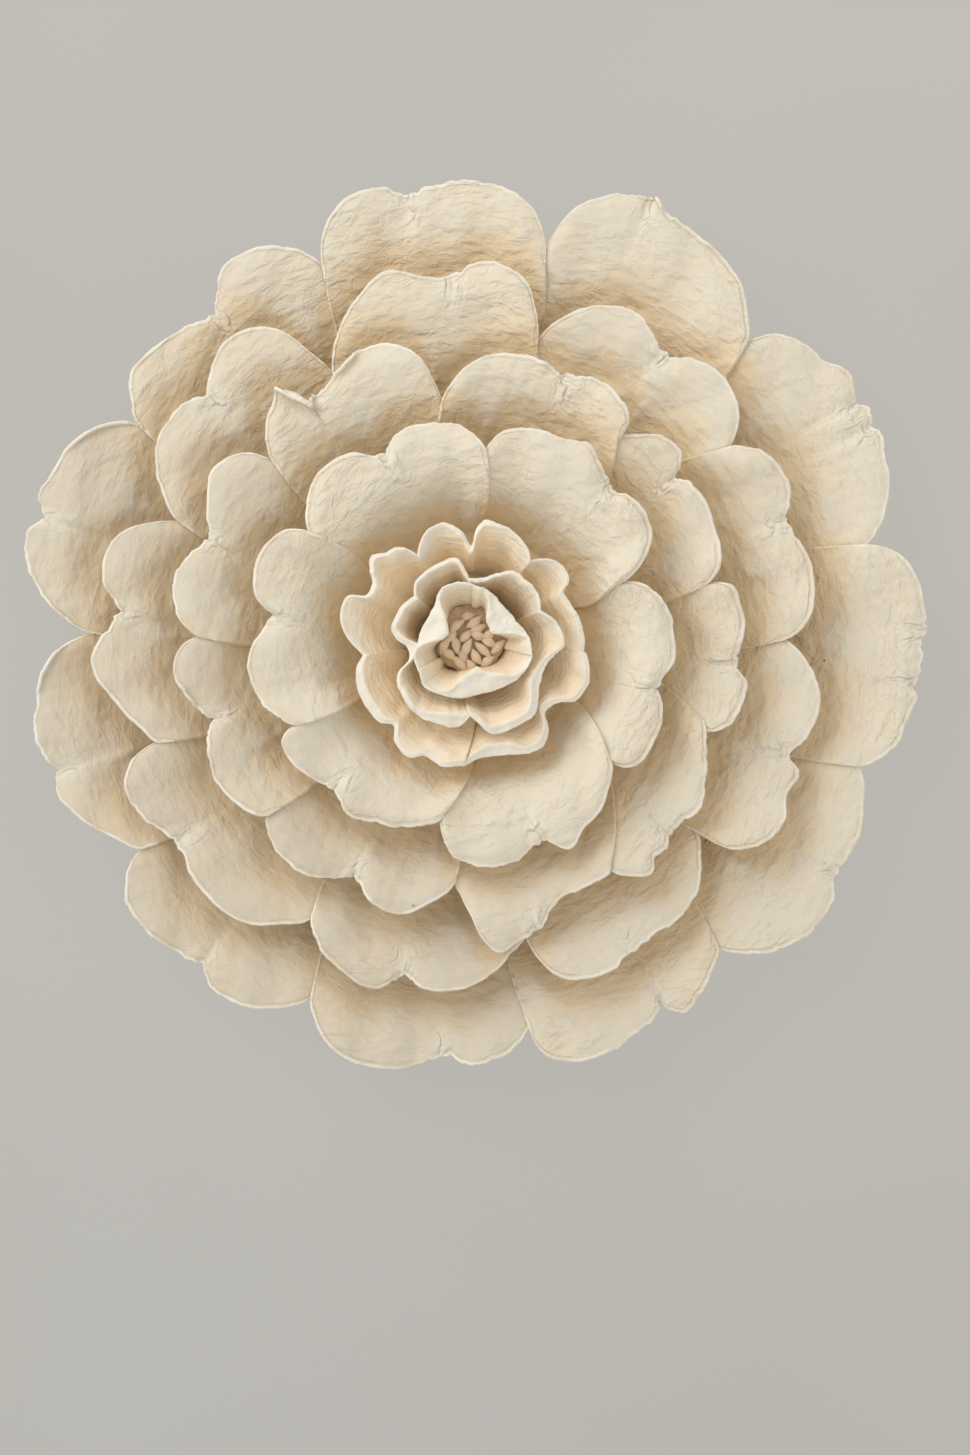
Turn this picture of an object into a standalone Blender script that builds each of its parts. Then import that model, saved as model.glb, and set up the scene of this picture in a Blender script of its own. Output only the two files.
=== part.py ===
"""Giant layered paper flower for a wall.

Built as the real one is: four rings of curved paper petals and a bud of
twelve upright petals, each petal with a flat tab, stacked on card discs.
Metres, +Z up, the flower faces -Y and the wall is the plane y = 0.
"""
import math

import bmesh
import bpy

mm = 0.001

# Sizes that drive the part, in millimetres.
paper = 2.0              # thickness of one petal
layer_gap = 0.3          # air between one part and the next
board_radius = 134.0     # backing board
board_thick = 6.0
disc_thick = 12.0        # each spacer disc
disc_radii = [110.0, 92.5, 74.0, 54.0]
bud_edges = [52.0, 38.5, 27.5]   # outer ends of the bud petals' tabs
bud_tab = 8.0            # length of those tabs
side_gap = 1.4           # between two tabs on one disc
tab_margin = 2.0         # tab end to the edge of the disc it sits on
lap_deg = 2.6            # how far a petal runs on under its neighbour
bud_lap_deg = 6.0
bud_lap_end = 0.78
lap_short = 7.0          # the hidden end stops this much short
reach_scale = 1.0        # all rims grow or shrink together
outer_rise = 37.0        # rim of each ring above its tabs
third_rise = 47.0
second_rise = 56.0
first_rise = 62.0
bud_rises = [54.0, 63.0, 72.0]
ridge_height = 9.0       # crest where two petals of a ring meet
ridge_width = 13.0       # degrees
pistil_radius = 21.5
pistil_height = 38.0
post_radius = 9.0
hanger_width = 44.0
hanger_height = 10.0
hanger_thick = 0.9
hanger_drop = 42.0       # from the board's top edge down to the hanger's middle
hanger_up = board_radius - hanger_drop
rebate_depth = 2.6
rebate_margin = 3.0

rim_tolerance = 2.2      # rim points that matter less are left out

# How far two lapped petals stand apart, middle to middle.
lap_rise = paper + layer_gap + 2.6

# Where the crosswise lines of a petal lie, as shares of its shortest rise.
ring_rows = [0.13, 0.45, 0.82]
bud_rows = [0.13, 0.42, 0.72]

# Rims, petal by petal, anticlockwise seen from the front: degrees from the
# flower's right, millimetres from its axis. "over" says whether the petal
# covers the end of the one before it; "lean" turns the side of the petal at
# its tab, in degrees.
outer_rims = [
    dict(over=True, lean=0, rim=[
        (342, 270), (345, 288), (351, 297), (358, 300), (363, 303), (367, 301),
        (370.5, 294), (373.5, 269)]),
    dict(over=False, lean=0, rim=[
        (13.5, 269), (16.5, 282), (19, 294), (23.5, 303), (28, 309), (32, 306),
        (34.5, 311), (38, 306), (43, 297), (47, 270)]),
    dict(over=True, lean=0, rim=[
        (47, 270), (49.5, 284), (53, 298), (57.5, 306), (63.5, 311), (68, 317),
        (72, 311), (75.5, 299), (79, 261)]),
    dict(over=True, lean=0, rim=[
        (79, 261), (82.5, 293), (87, 303), (92, 305), (98, 299), (102, 307),
        (106, 304), (109, 292), (111.5, 266)]),
    dict(over=False, lean=0, rim=[
        (111.5, 266), (114.5, 286), (119, 297), (123.5, 297), (128, 275),
        (132.5, 281), (137.5, 286), (141.5, 287), (144.5, 277), (147, 261)]),
    dict(over=False, lean=0, rim=[
        (147, 261), (149, 279), (153, 293), (158, 299), (162, 301), (163.7, 295),
        (167, 303), (171, 296), (175, 281), (179, 249)]),
    dict(over=False, lean=0, rim=[
        (179, 249), (183, 281), (188.5, 291), (193.5, 296), (197, 289),
        (200.5, 292), (204.5, 285), (209, 271), (212.5, 258)]),
    dict(over=False, lean=0, rim=[
        (212.5, 258), (214, 274), (217, 286), (222, 289), (227, 284),
        (230.5, 280), (233, 287), (238, 286), (242, 277), (246, 259)]),
    dict(over=True, lean=0, rim=[
        (246, 259), (248, 274), (252, 288), (257, 291), (262, 286), (266, 276),
        (270.5, 282), (275, 276), (278.7, 258)]),
    dict(over=True, lean=0, rim=[
        (278.7, 258), (280.5, 281), (284.5, 289), (289.5, 288), (294.5, 281),
        (298, 276), (300, 285), (303, 281), (306, 273), (309, 262)]),
    dict(over=False, lean=0, rim=[
        (309, 262), (311, 276), (314.5, 289), (319.5, 298), (324.5, 296),
        (327.5, 288), (332.5, 290), (337, 284), (342, 270)]),
]
third_rims = [
    dict(over=True, lean=0, rim=[
        (320, 200), (322.5, 228), (326, 237), (330, 240), (334, 233), (337.4, 235),
        (340, 224), (343, 230), (347, 235), (352, 233), (356, 224), (360, 208)]),
    dict(over=True, lean=0, rim=[
        (0, 208), (4, 226), (8, 230), (12.5, 231), (17, 227), (20.5, 222),
        (24, 232), (29, 235), (33.5, 228), (36.7, 213)]),
    dict(over=False, lean=6, rim=[
        (36.7, 213), (40, 232), (45.5, 241), (50.5, 239), (54.5, 230), (58, 232),
        (62, 242), (67.5, 239), (72.5, 227), (77.3, 201)]),
    dict(over=True, lean=0, rim=[
        (77.3, 201), (78.7, 222), (81.5, 241), (85, 249), (90, 248), (92, 241),
        (97.5, 242), (102.5, 250), (108.5, 237), (114, 218), (117.3, 197)]),
    dict(over=False, lean=0, rim=[
        (117.3, 197), (119.5, 221), (122, 242), (126.5, 254), (130.5, 254),
        (133.5, 248), (136.5, 239), (141.5, 246), (148, 244), (153.5, 229), (158, 207)]),
    dict(over=False, lean=0, rim=[
        (158, 207), (160, 225), (163, 241), (167.5, 248), (171.5, 244),
        (175.5, 231), (179, 242), (183.5, 251), (189.5, 239), (195, 226), (198.3, 217)]),
    dict(over=False, lean=0, rim=[
        (198.3, 217), (200, 239), (204, 249), (209, 245), (215, 235), (220, 241),
        (225, 243), (231.5, 239), (236, 227), (240.3, 212)]),
    dict(over=True, lean=0, rim=[
        (240.3, 212), (243, 224), (249, 235), (255, 239), (258.3, 226),
        (263, 233), (268.5, 231), (273.5, 222), (277, 211), (280.7, 199)]),
    dict(over=True, lean=0, rim=[
        (280.7, 199), (282, 215), (285, 231), (289, 237), (294, 237), (297.5, 232),
        (302, 230), (308, 229.5), (313, 222), (317, 209), (320, 196)]),
]
second_rims = [
    dict(over=False, lean=11, rim=[
        (339.3, 171), (341, 178), (343.7, 183), (347, 184), (351, 184.5), (354.7, 174),
        (358, 178), (363, 181), (368, 179.5), (371, 178), (373, 160)]),
    dict(over=True, lean=0, rim=[
        (13, 160), (15.5, 171), (20, 176), (25, 177), (31, 180), (35.5, 177),
        (38.3, 172), (41, 184), (45, 186), (50, 176), (53.5, 166)]),
    dict(over=True, lean=-8, rim=[
        (53.5, 166), (54.5, 181), (59, 188), (65.5, 190), (69.5, 184), (75, 189),
        (82, 190), (88.5, 184), (93.5, 172), (97, 157)]),
    dict(over=False, lean=0, rim=[
        (97, 157), (98.5, 176), (101.5, 194), (106.5, 203), (113, 201), (119, 192),
        (123.5, 188), (127.5, 205), (132, 199), (135.5, 188), (138, 174)]),
    dict(over=False, lean=0, rim=[
        (138, 174), (141.5, 196), (146.5, 203), (153, 194), (159.2, 184),
        (165, 196), (171.5, 198), (176.5, 190), (179.5, 177)]),
    dict(over=False, lean=0, rim=[
        (179.5, 177), (181.5, 190), (185, 196), (190, 192), (197, 178.5), (202, 186),
        (208, 191), (215, 188), (221, 177)]),
    dict(over=False, lean=0, rim=[
        (221, 177), (223.8, 184), (227.5, 188), (233, 190), (239, 183), (243.8, 172.5),
        (249, 184), (255, 187), (260.5, 178), (266.5, 161)]),
    dict(over=False, lean=0, rim=[
        (266.5, 161), (268.5, 172), (270.5, 183), (272.5, 197), (275.3, 207),
        (279, 201), (283, 197), (286.5, 186), (290, 180), (296, 180.5), (301.5, 178)]),
    dict(over=False, lean=22, rim=[
        (301.5, 178), (304.5, 189), (308, 195), (310.2, 188), (312.5, 189),
        (315.7, 183), (319.5, 185), (324, 187.5), (330, 179), (335.5, 172), (339.3, 165)]),
]
first_rims = [
    dict(over=False, lean=12, rim=[
        (319.3, 122), (320.8, 133), (324, 137.5), (331, 138), (338, 136), (342, 132),
        (345.3, 125.5), (349, 129.5), (354, 134.5), (360, 134), (367, 132), (374, 126),
        (380.5, 107)]),
    dict(over=True, lean=-4, rim=[
        (20.5, 107), (24, 124), (30.5, 138), (37, 142), (43, 139), (47, 135.5),
        (52, 141), (57.5, 149), (65, 145), (74, 143.5), (81, 137), (85, 123)]),
    dict(over=True, lean=0, rim=[
        (85, 123), (89.5, 135), (95, 141.5), (103, 144), (109, 143.5), (114.5, 133),
        (118, 136), (122, 143.5), (128.5, 147.5), (135, 145.5), (141, 137.5), (146.5, 125)]),
    dict(over=True, lean=0, rim=[
        (146.5, 125), (149.6, 140), (155, 147), (163, 148), (168.5, 143), (173, 130.5),
        (177, 134.5), (182, 143), (188, 146.5), (196, 143), (202.5, 135), (206.5, 126)]),
    dict(over=False, lean=0, rim=[
        (206.5, 126), (208.5, 140), (213, 142), (220, 139), (228.3, 132.5),
        (231.5, 137), (236, 139.5), (243.6, 134.5), (250, 131), (256, 126), (261, 120)]),
    dict(over=False, lean=12, rim=[
        (261, 120), (263, 133), (266, 143), (272, 148.5), (281, 149), (287.5, 142),
        (291, 142), (295.5, 152.5), (301.5, 144), (306.5, 142), (312, 134.5), (319.3, 122)]),
]
outer_bud_rims = [
    dict(over=False, lean=0, rim=[
        (353, 75), (360, 75), (370, 73), (381, 69), (386.5, 68.5), (390, 75),
        (398, 77), (405, 74), (412, 65)]),
    dict(over=True, lean=0, rim=[
        (52, 65), (57, 70.5), (64, 74), (75, 77.5), (82, 78.5), (85.5, 74), (89, 61),
        (95, 71), (103, 78), (112, 76), (118, 70.5), (122, 65)]),
    dict(over=False, lean=0, rim=[
        (122, 65), (127, 75), (134, 79), (140, 84), (145, 80), (150, 73.5), (157, 73.5),
        (161, 85), (168, 86.5), (178, 81.5), (188.5, 71)]),
    dict(over=True, lean=0, rim=[
        (188.5, 71), (195, 77.5), (205, 80.5), (216, 81), (222, 80.5), (227, 75.5),
        (234, 83.5), (244, 86.5), (248, 82.5), (258, 85.5), (267, 83.5)]),
    dict(over=False, lean=0, rim=[
        (267, 83.5), (273, 78.5), (284, 79), (294, 82.5), (305, 85), (309.5, 80),
        (314, 69), (321, 70), (331, 81), (340, 83), (348, 80), (353, 77)]),
]
middle_bud_rims = [
    dict(over=True, lean=0, rim=[
        (270, 51), (276, 56), (282, 63), (292, 65), (303, 65), (311, 65), (318, 60),
        (330, 53), (341, 53), (349, 56), (355, 61), (365, 60.5), (374, 56), (382, 50)]),
    dict(over=False, lean=0, rim=[
        (22, 50), (30, 52.5), (42, 53.5), (57, 52), (66, 47), (75, 42), (84, 40), (91, 40)]),
    dict(over=False, lean=0, rim=[
        (91, 40), (94.5, 46), (98.5, 53), (112, 53), (125, 52.5), (134, 51), (142, 46)]),
    dict(over=True, lean=0, rim=[
        (142, 46), (150, 48.5), (161, 50), (173, 51.5), (180, 48), (190, 41), (201, 42),
        (206, 52), (220, 58), (236, 60), (252, 59.5), (263, 57.5), (270, 51)]),
]
inner_bud_rims = [
    dict(over=True, lean=0, rim=[
        (345, 42.5), (357, 40), (372, 35), (388, 31), (402, 30.5), (418, 32), (432, 34),
        (446, 35.5)]),
    dict(over=False, lean=0, rim=[
        (86, 35.5), (98, 37.5), (112, 38), (124, 36), (137, 31.5), (151, 30.5), (168, 31.5),
        (184, 34), (198, 38), (212, 40)]),
    dict(over=True, lean=0, rim=[
        (212, 40), (226, 43), (242, 41), (258, 39.5), (275, 37), (293, 37), (308, 38.5),
        (322, 41), (334, 42), (345, 42.5)]),
]

# Folds pressed into the petals: degrees, depth in mm, half width in degrees.
outer_folds = [(34, 3, 3), (98, 3, 4), (128, 5, 4), (163.7, 4, 3), (198, 4, 3),
               (230.5, 4, 4), (266, 4, 4), (298, 4, 3), (327.5, 3, 3)]
third_folds = [(56, 4, 4), (92.5, 3, 3), (136.5, 4, 4), (176, 5, 4), (215, 4, 4),
               (258.3, 3, 3), (297.5, 3, 3), (340, 4, 3), (20.5, 3, 3)]
second_folds = [(38.3, 4, 3), (69.5, 2, 3), (123.5, 5, 4), (159.2, 5, 4), (197, 4, 4),
                (243.8, 5, 4), (283, 3, 4), (316, 3, 4), (354.7, 4, 3)]
first_folds = [(47, 3, 4), (114.5, 5, 4), (173, 5, 5), (228.3, 3, 4), (289, 4, 4),
               (345.3, 4, 4)]

# Heights of the card stack, from the wall outwards.
tops = [board_thick]
for _ in disc_radii:
    tops.append(tops[-1] + layer_gap + disc_thick)


def smooth(x):
    x = min(max(x, 0.0), 1.0)
    return x * x * (3.0 - 2.0 * x)


def apart(a, b):
    return abs((a - b + 180.0) % 360.0 - 180.0)


def make_ring(name, rims, level, tab_in, tab_out, rise, reach, folds=(), upright=0.0):
    """The sizes one ring of petals shares."""
    rims = [dict(petal, rim=thin(petal["rim"])) for petal in rims]
    base = tops[level] + layer_gap + paper / 2
    rim = []
    for petal in rims:
        for deg, radius in petal["rim"][:-1]:
            rim.append((deg % 360.0, radius * reach_scale))
    rim.sort()
    rim = [(rim[-1][0] - 360.0, rim[-1][1])] + rim + [(rim[0][0] + 360.0, rim[0][1])]
    joints = [dict(deg=p["rim"][0][0] % 360.0, radius=p["rim"][0][1] * reach_scale,
                   lean=p["lean"], over=p["over"]) for p in rims]
    return dict(name=name, rims=rims, tab_in=tab_in, tab_out=tab_out, rise=rise,
                reach=reach * reach_scale, folds=folds, upright=upright, base=base,
                rim=rim, joints=joints, lap=bud_lap_deg if upright else lap_deg,
                rows=bud_rows if upright else ring_rows)


def rim_radius(ring, deg):
    deg = deg % 360.0
    for (d0, r0), (d1, r1) in zip(ring["rim"], ring["rim"][1:]):
        if d0 <= deg <= d1:
            return r0 + (r1 - r0) * (deg - d0) / max(d1 - d0, 1e-6)
    return ring["rim"][0][1]


def joint_angle(ring, joint, radius):
    """Where the line between two petals runs at this radius."""
    span = joint["radius"] - ring["tab_out"]
    done = min(max((radius - ring["tab_out"]) / span, 0.0), 1.0)
    return joint["deg"] + joint["lean"] * (1.0 - done)


def base_curve(ring, deg, v):
    """Radius, height, inward normal and run of the ring's shared bowl at v."""
    span = rim_radius(ring, deg) - ring["tab_out"]
    if ring["upright"]:
        power = ring["upright"]
        along = v
        radius = ring["tab_out"] + span * v ** power
        height = ring["base"] + ring["rise"] * (1.0 - (1.0 - v) ** 1.9)
        run = span * power * max(v, 0.02) ** (power - 1.0)
        climb = ring["rise"] * 1.9 * (1.0 - v) ** 0.9
    else:
        radius = ring["tab_out"] + span * v
        run = ring["reach"] - ring["tab_out"]
        along = (radius - ring["tab_out"]) / run
        height = ring["base"] + ring["rise"] * (1.0 - abs(1.0 - along) ** 2.2)
        climb = ring["rise"] * 2.2 * abs(1.0 - along) ** 1.2
    size = math.hypot(run, climb)
    return radius, height, -climb / size, run / size, along


def petal_point(ring, index, deg, v, tab_deg):
    """A point on the middle of one petal; v runs from tab edge to rim."""
    after = (index + 1) % len(ring["rims"])
    start, stop = ring["rims"][index]["rim"][0][0], ring["rims"][index]["rim"][-1][0]
    share = min(max((deg - start) / (stop - start), 0.0), 1.0)
    radius, height, n_out, n_up, along = base_curve(ring, deg, v)
    angle = tab_deg + (deg - tab_deg) * smooth(along / 0.35)
    for k, part in ((index, 1.0 - share), (after, share)):
        joint = ring["joints"][k]
        angle += part * (joint_angle(ring, joint, radius) - joint["deg"])
    push = 0.0
    for k, joint in enumerate(ring["joints"]):
        away = apart(angle, joint_angle(ring, joint, radius))
        if not ring["upright"]:
            crest = max(0.0, 1.0 - away / ridge_width)
            push += ridge_height * smooth(along / 0.5) * crest ** 1.6
        if (k == index and joint["over"]) or (k == after and not joint["over"]):
            near = 1.0 - smooth((away - ring["lap"] - 2.0) / 8.0)
            push += lap_rise * near * smooth(along / 0.1)
    for fold_deg, depth, half in ring["folds"]:
        push -= depth * math.exp(-(apart(angle, fold_deg) / half) ** 2) * along * along
    radius += n_out * push
    height += n_up * push
    turn = math.radians(angle)
    return (radius * math.cos(turn) * mm, -height * mm, radius * math.sin(turn) * mm)


def thin(rim):
    """Leaves out the rim points that move the outline less than the tolerance."""
    if len(rim) < 3:
        return rim
    flat = [(r * math.cos(math.radians(d)), r * math.sin(math.radians(d))) for d, r in rim]
    (x0, y0), (x1, y1) = flat[0], flat[-1]
    size = max(math.hypot(x1 - x0, y1 - y0), 1e-6)
    off = [abs((x - x0) * (y1 - y0) - (y - y0) * (x1 - x0)) / size for x, y in flat]
    far = max(off)
    if far < rim_tolerance:
        return [rim[0], rim[-1]]
    k = off.index(far)
    return thin(rim[:k + 1])[:-1] + thin(rim[k:])


def make_petal(ring, index):
    """One petal: tab, rise and rim, as a grid thickened to a sheet."""
    after = (index + 1) % len(ring["rims"])
    rim = ring["rims"][index]["rim"]
    start, stop = rim[0][0], rim[-1][0]
    lean_a = ring["joints"][index]["lean"]
    lean_b = ring["joints"][after]["lean"]
    columns = [(deg, 1.0) for deg, radius in rim]
    for hidden, deg, radius in (
            (not ring["joints"][index]["over"], start - ring["lap"], rim[0][1]),
            (ring["joints"][after]["over"], stop + ring["lap"], rim[-1][1])):
        if hidden:
            end = bud_lap_end
            if not ring["upright"]:
                kept = radius * reach_scale - lap_short - ring["tab_out"]
                end = kept / (rim_radius(ring, deg) - ring["tab_out"])
            columns.insert(0 if deg < start else len(columns), (deg, end))
    gap_deg = math.degrees(side_gap / 2 / ring["tab_in"])
    first, last = columns[0][0], columns[-1][0]
    clefts = [joint["radius"] - ring["tab_out"] for joint in ring["joints"]]
    usual = sum(clefts) / len(clefts)
    mesh = bmesh.new()
    grid = []
    for deg, end in columns:
        share = (deg - first) / (last - first)
        tab_deg = start + gap_deg + share * (stop - start - 2 * gap_deg)
        lean_share = min(max((deg - start) / (stop - start), 0.0), 1.0)
        lean = lean_a + (lean_b - lean_a) * lean_share
        line = []
        for radius in (ring["tab_in"], ring["tab_out"]):
            turn = math.radians(tab_deg + lean)
            line.append(mesh.verts.new((radius * math.cos(turn) * mm, -ring["base"] * mm,
                                        radius * math.sin(turn) * mm)))
        span = 1.0
        if not ring["upright"]:
            reached = rim_radius(ring, deg) - ring["tab_out"]
            span = min(usual, reached) / reached
        for v in ring["rows"]:
            line.append(mesh.verts.new(petal_point(ring, index, deg, v * span, tab_deg)))
        line.append(mesh.verts.new(petal_point(ring, index, deg, end, tab_deg)))
        grid.append(line)
    for left, right in zip(grid, grid[1:]):
        for k in range(len(left) - 1):
            mesh.faces.new((left[k], left[k + 1], right[k + 1], right[k]))
    bmesh.ops.recalc_face_normals(mesh, faces=mesh.faces[:])
    data = bpy.data.meshes.new(ring["name"])
    mesh.to_mesh(data)
    mesh.free()
    piece = bpy.data.objects.new(f"{ring['name']}_{index + 1}", data)
    flower.objects.link(piece)
    sheet = piece.modifiers.new("paper", "SOLIDIFY")
    sheet.thickness = paper * mm
    sheet.offset = 0.0
    return piece


def paint(piece, name, colour, rough, metal=0.0):
    """Each object has its own material."""
    look = bpy.data.materials.new(name)
    look.use_nodes = True
    shader = look.node_tree.nodes["Principled BSDF"]
    shader.inputs["Base Color"].default_value = (*colour, 1.0)
    shader.inputs["Roughness"].default_value = rough
    shader.inputs["Metallic"].default_value = metal
    piece.data.materials.append(look)


def make_disc(name, radius, low, high, sides=40):
    """A card disc between two heights above the wall."""
    mesh = bmesh.new()
    bmesh.ops.create_cone(mesh, cap_ends=True, segments=sides, radius1=radius * mm,
                          radius2=radius * mm, depth=(high - low) * mm)
    data = bpy.data.meshes.new(name)
    mesh.to_mesh(data)
    mesh.free()
    for vert in data.vertices:
        x, y, z = vert.co
        vert.co = (x, z - (high + low) / 2 * mm, -y)
    disc = bpy.data.objects.new(name, data)
    flower.objects.link(disc)
    return disc


def make_pistil(low):
    """The folded heart: a lobed head on a short post, one closed skin."""
    steps = [(post_radius + 3.0, 0.0), (post_radius + 3.0, 3.0), (post_radius, 5.0),
             (post_radius, pistil_height * 0.45), (pistil_radius * 0.80, pistil_height * 0.66),
             (pistil_radius, pistil_height * 0.82), (pistil_radius * 0.86, pistil_height * 0.93),
             (pistil_radius * 0.60, pistil_height * 0.97), (pistil_radius * 0.34, pistil_height),
             (pistil_radius * 0.14, pistil_height * 0.97)]
    sides = 18
    mesh = bmesh.new()
    loops = []
    for k, (radius, up) in enumerate(steps):
        loop = []
        lobe = 1.0 if k in (4, 5, 6) else (0.6 if k in (7, 8) else 0.0)
        for s in range(sides):
            turn = 2 * math.pi * s / sides
            dent = 1.0 - 0.10 * lobe * (s % 2)
            drop = 1.6 * lobe * (s % 2)
            loop.append(mesh.verts.new((radius * dent * math.cos(turn) * mm,
                                        -(low + up - drop) * mm,
                                        radius * dent * math.sin(turn) * mm)))
        loops.append(loop)
    for a, b in zip(loops, loops[1:]):
        for s in range(sides):
            n = (s + 1) % sides
            mesh.faces.new((a[s], a[n], b[n], b[s]))
    mesh.faces.new(loops[0])
    mesh.faces.new(loops[-1])
    bmesh.ops.recalc_face_normals(mesh, faces=mesh.faces[:])
    data = bpy.data.meshes.new("pistil")
    mesh.to_mesh(data)
    mesh.free()
    piece = bpy.data.objects.new("pistil", data)
    flower.objects.link(piece)
    return piece


def make_hanger():
    """A steel strip with a toothed lower edge, lying in the board's rebate."""
    teeth = 9
    half = hanger_width / 2
    up = hanger_up + hanger_height / 2
    down = hanger_up - hanger_height / 2
    outline = [(-half, up), (-half, down)]
    pitch = hanger_width * 0.7 / teeth
    for k in range(teeth):
        left = -hanger_width * 0.35 + k * pitch
        outline.append((left, down))
        outline.append((left + pitch / 2, down + 2.4))
    outline.append((hanger_width * 0.35, down))
    outline += [(half, down), (half, up)]
    near = -(rebate_depth - layer_gap)
    mesh = bmesh.new()
    face = mesh.faces.new([mesh.verts.new((x * mm, near * mm, z * mm)) for x, z in outline])
    grown = bmesh.ops.extrude_face_region(mesh, geom=[face])
    moved = [g for g in grown["geom"] if isinstance(g, bmesh.types.BMVert)]
    bmesh.ops.translate(mesh, verts=moved, vec=(0.0, hanger_thick * mm, 0.0))
    bmesh.ops.recalc_face_normals(mesh, faces=mesh.faces[:])
    data = bpy.data.meshes.new("hanger")
    mesh.to_mesh(data)
    mesh.free()
    piece = bpy.data.objects.new("hanger", data)
    flower.objects.link(piece)
    return piece


for thing in list(bpy.data.objects):
    bpy.data.objects.remove(thing, do_unlink=True)

flower = bpy.data.collections.new("paper_flower")
bpy.context.scene.collection.children.link(flower)
cutters = bpy.data.collections.new("cutters")
bpy.context.scene.collection.children.link(cutters)

card = (0.62, 0.56, 0.46)
cream = (0.80, 0.73, 0.61)

# Backing board with a rebate for the hanger.
board = make_disc("backing_board", board_radius, 0.0, board_thick, 40)
paint(board, "board card", card, 0.9)
cut_mesh = bpy.data.meshes.new("rebate")
cut = bmesh.new()
bmesh.ops.create_cube(cut, size=1.0)
wide = hanger_width + 2 * rebate_margin
tall = hanger_height + 2 * rebate_margin + 6.0
for vert in cut.verts:
    vert.co.x *= wide * mm
    vert.co.y *= 2 * rebate_depth * mm
    vert.co.z = vert.co.z * tall * mm + (hanger_up - 3.0) * mm
cut.to_mesh(cut_mesh)
cut.free()
cutter = bpy.data.objects.new("rebate_cutter", cut_mesh)
cutters.objects.link(cutter)
cutter.hide_render = True
cutter.display_type = "WIRE"
bite = board.modifiers.new("rebate", "BOOLEAN")
bite.operation = "DIFFERENCE"
bite.solver = "EXACT"
bite.object = cutter

for k, radius in enumerate(disc_radii):
    low = tops[k] + layer_gap
    disc = make_disc(f"spacer_disc_{k + 1}", radius, low, low + disc_thick, 32)
    paint(disc, f"spacer card {k + 1}", card, 0.9)

hanger = make_hanger()
paint(hanger, "hanger steel", (0.55, 0.55, 0.56), 0.35, 1.0)

# The rings, from the wall outwards; each sits on the rim of its disc left
# free by the disc above.
edges = [board_radius] + disc_radii
rings = [
    make_ring("outer_petal", outer_rims, 0, edges[1] + tab_margin,
              edges[0] - tab_margin, outer_rise, 295, outer_folds),
    make_ring("third_petal", third_rims, 1, edges[2] + tab_margin,
              edges[1] - tab_margin, third_rise, 240, third_folds),
    make_ring("second_petal", second_rims, 2, edges[3] + tab_margin,
              edges[2] - tab_margin, second_rise, 188, second_folds),
    make_ring("first_petal", first_rims, 3, edges[4] + tab_margin,
              edges[3] - tab_margin, first_rise, 142, first_folds),
]
bud_rims = [outer_bud_rims, middle_bud_rims, inner_bud_rims]
bud_names = ["outer_bud_petal", "middle_bud_petal", "inner_bud_petal"]
bud_powers = [1.25, 1.35, 1.6]
for k in range(3):
    rings.append(make_ring(bud_names[k], bud_rims[k], 4, bud_edges[k] - bud_tab,
                           bud_edges[k], bud_rises[k], 0, (), bud_powers[k]))
for ring in rings:
    for index in range(len(ring["rims"])):
        petal = make_petal(ring, index)
        paint(petal, f"{petal.name} paper", cream, 0.85)

pistil = make_pistil(tops[-1] + layer_gap)
paint(pistil, "pistil paper", (0.66, 0.56, 0.43), 0.9)
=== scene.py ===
import math

import bmesh
import bpy
import numpy as np
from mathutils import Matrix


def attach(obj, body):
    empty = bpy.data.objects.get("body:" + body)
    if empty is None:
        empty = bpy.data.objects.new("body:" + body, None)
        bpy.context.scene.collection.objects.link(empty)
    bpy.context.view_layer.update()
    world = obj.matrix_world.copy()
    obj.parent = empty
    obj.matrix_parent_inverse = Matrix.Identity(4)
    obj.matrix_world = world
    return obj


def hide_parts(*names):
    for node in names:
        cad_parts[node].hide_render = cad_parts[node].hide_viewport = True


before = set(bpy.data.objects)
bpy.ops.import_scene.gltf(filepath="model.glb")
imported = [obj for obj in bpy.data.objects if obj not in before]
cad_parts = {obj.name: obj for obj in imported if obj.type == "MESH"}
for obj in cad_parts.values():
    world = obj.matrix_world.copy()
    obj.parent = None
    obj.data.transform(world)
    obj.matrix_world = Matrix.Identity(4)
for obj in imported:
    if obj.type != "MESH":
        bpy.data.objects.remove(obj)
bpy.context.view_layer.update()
mm = 0.001
paper = 2.0  # thickness in mm
print("frame loaded:", len(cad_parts), "nodes")


# 0 to 1 with level ends
def smooth(x):
    x = np.clip(x, 0.0, 1.0)
    return x * x * (3.0 - 2.0 * x)


# Degrees between two directions, and the same with its sign.
def apart(a, b):
    return np.abs(turnFrom(a, b))


def turnFrom(a, b):
    return (a - b + 180.0) % 360.0 - 180.0


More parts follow.
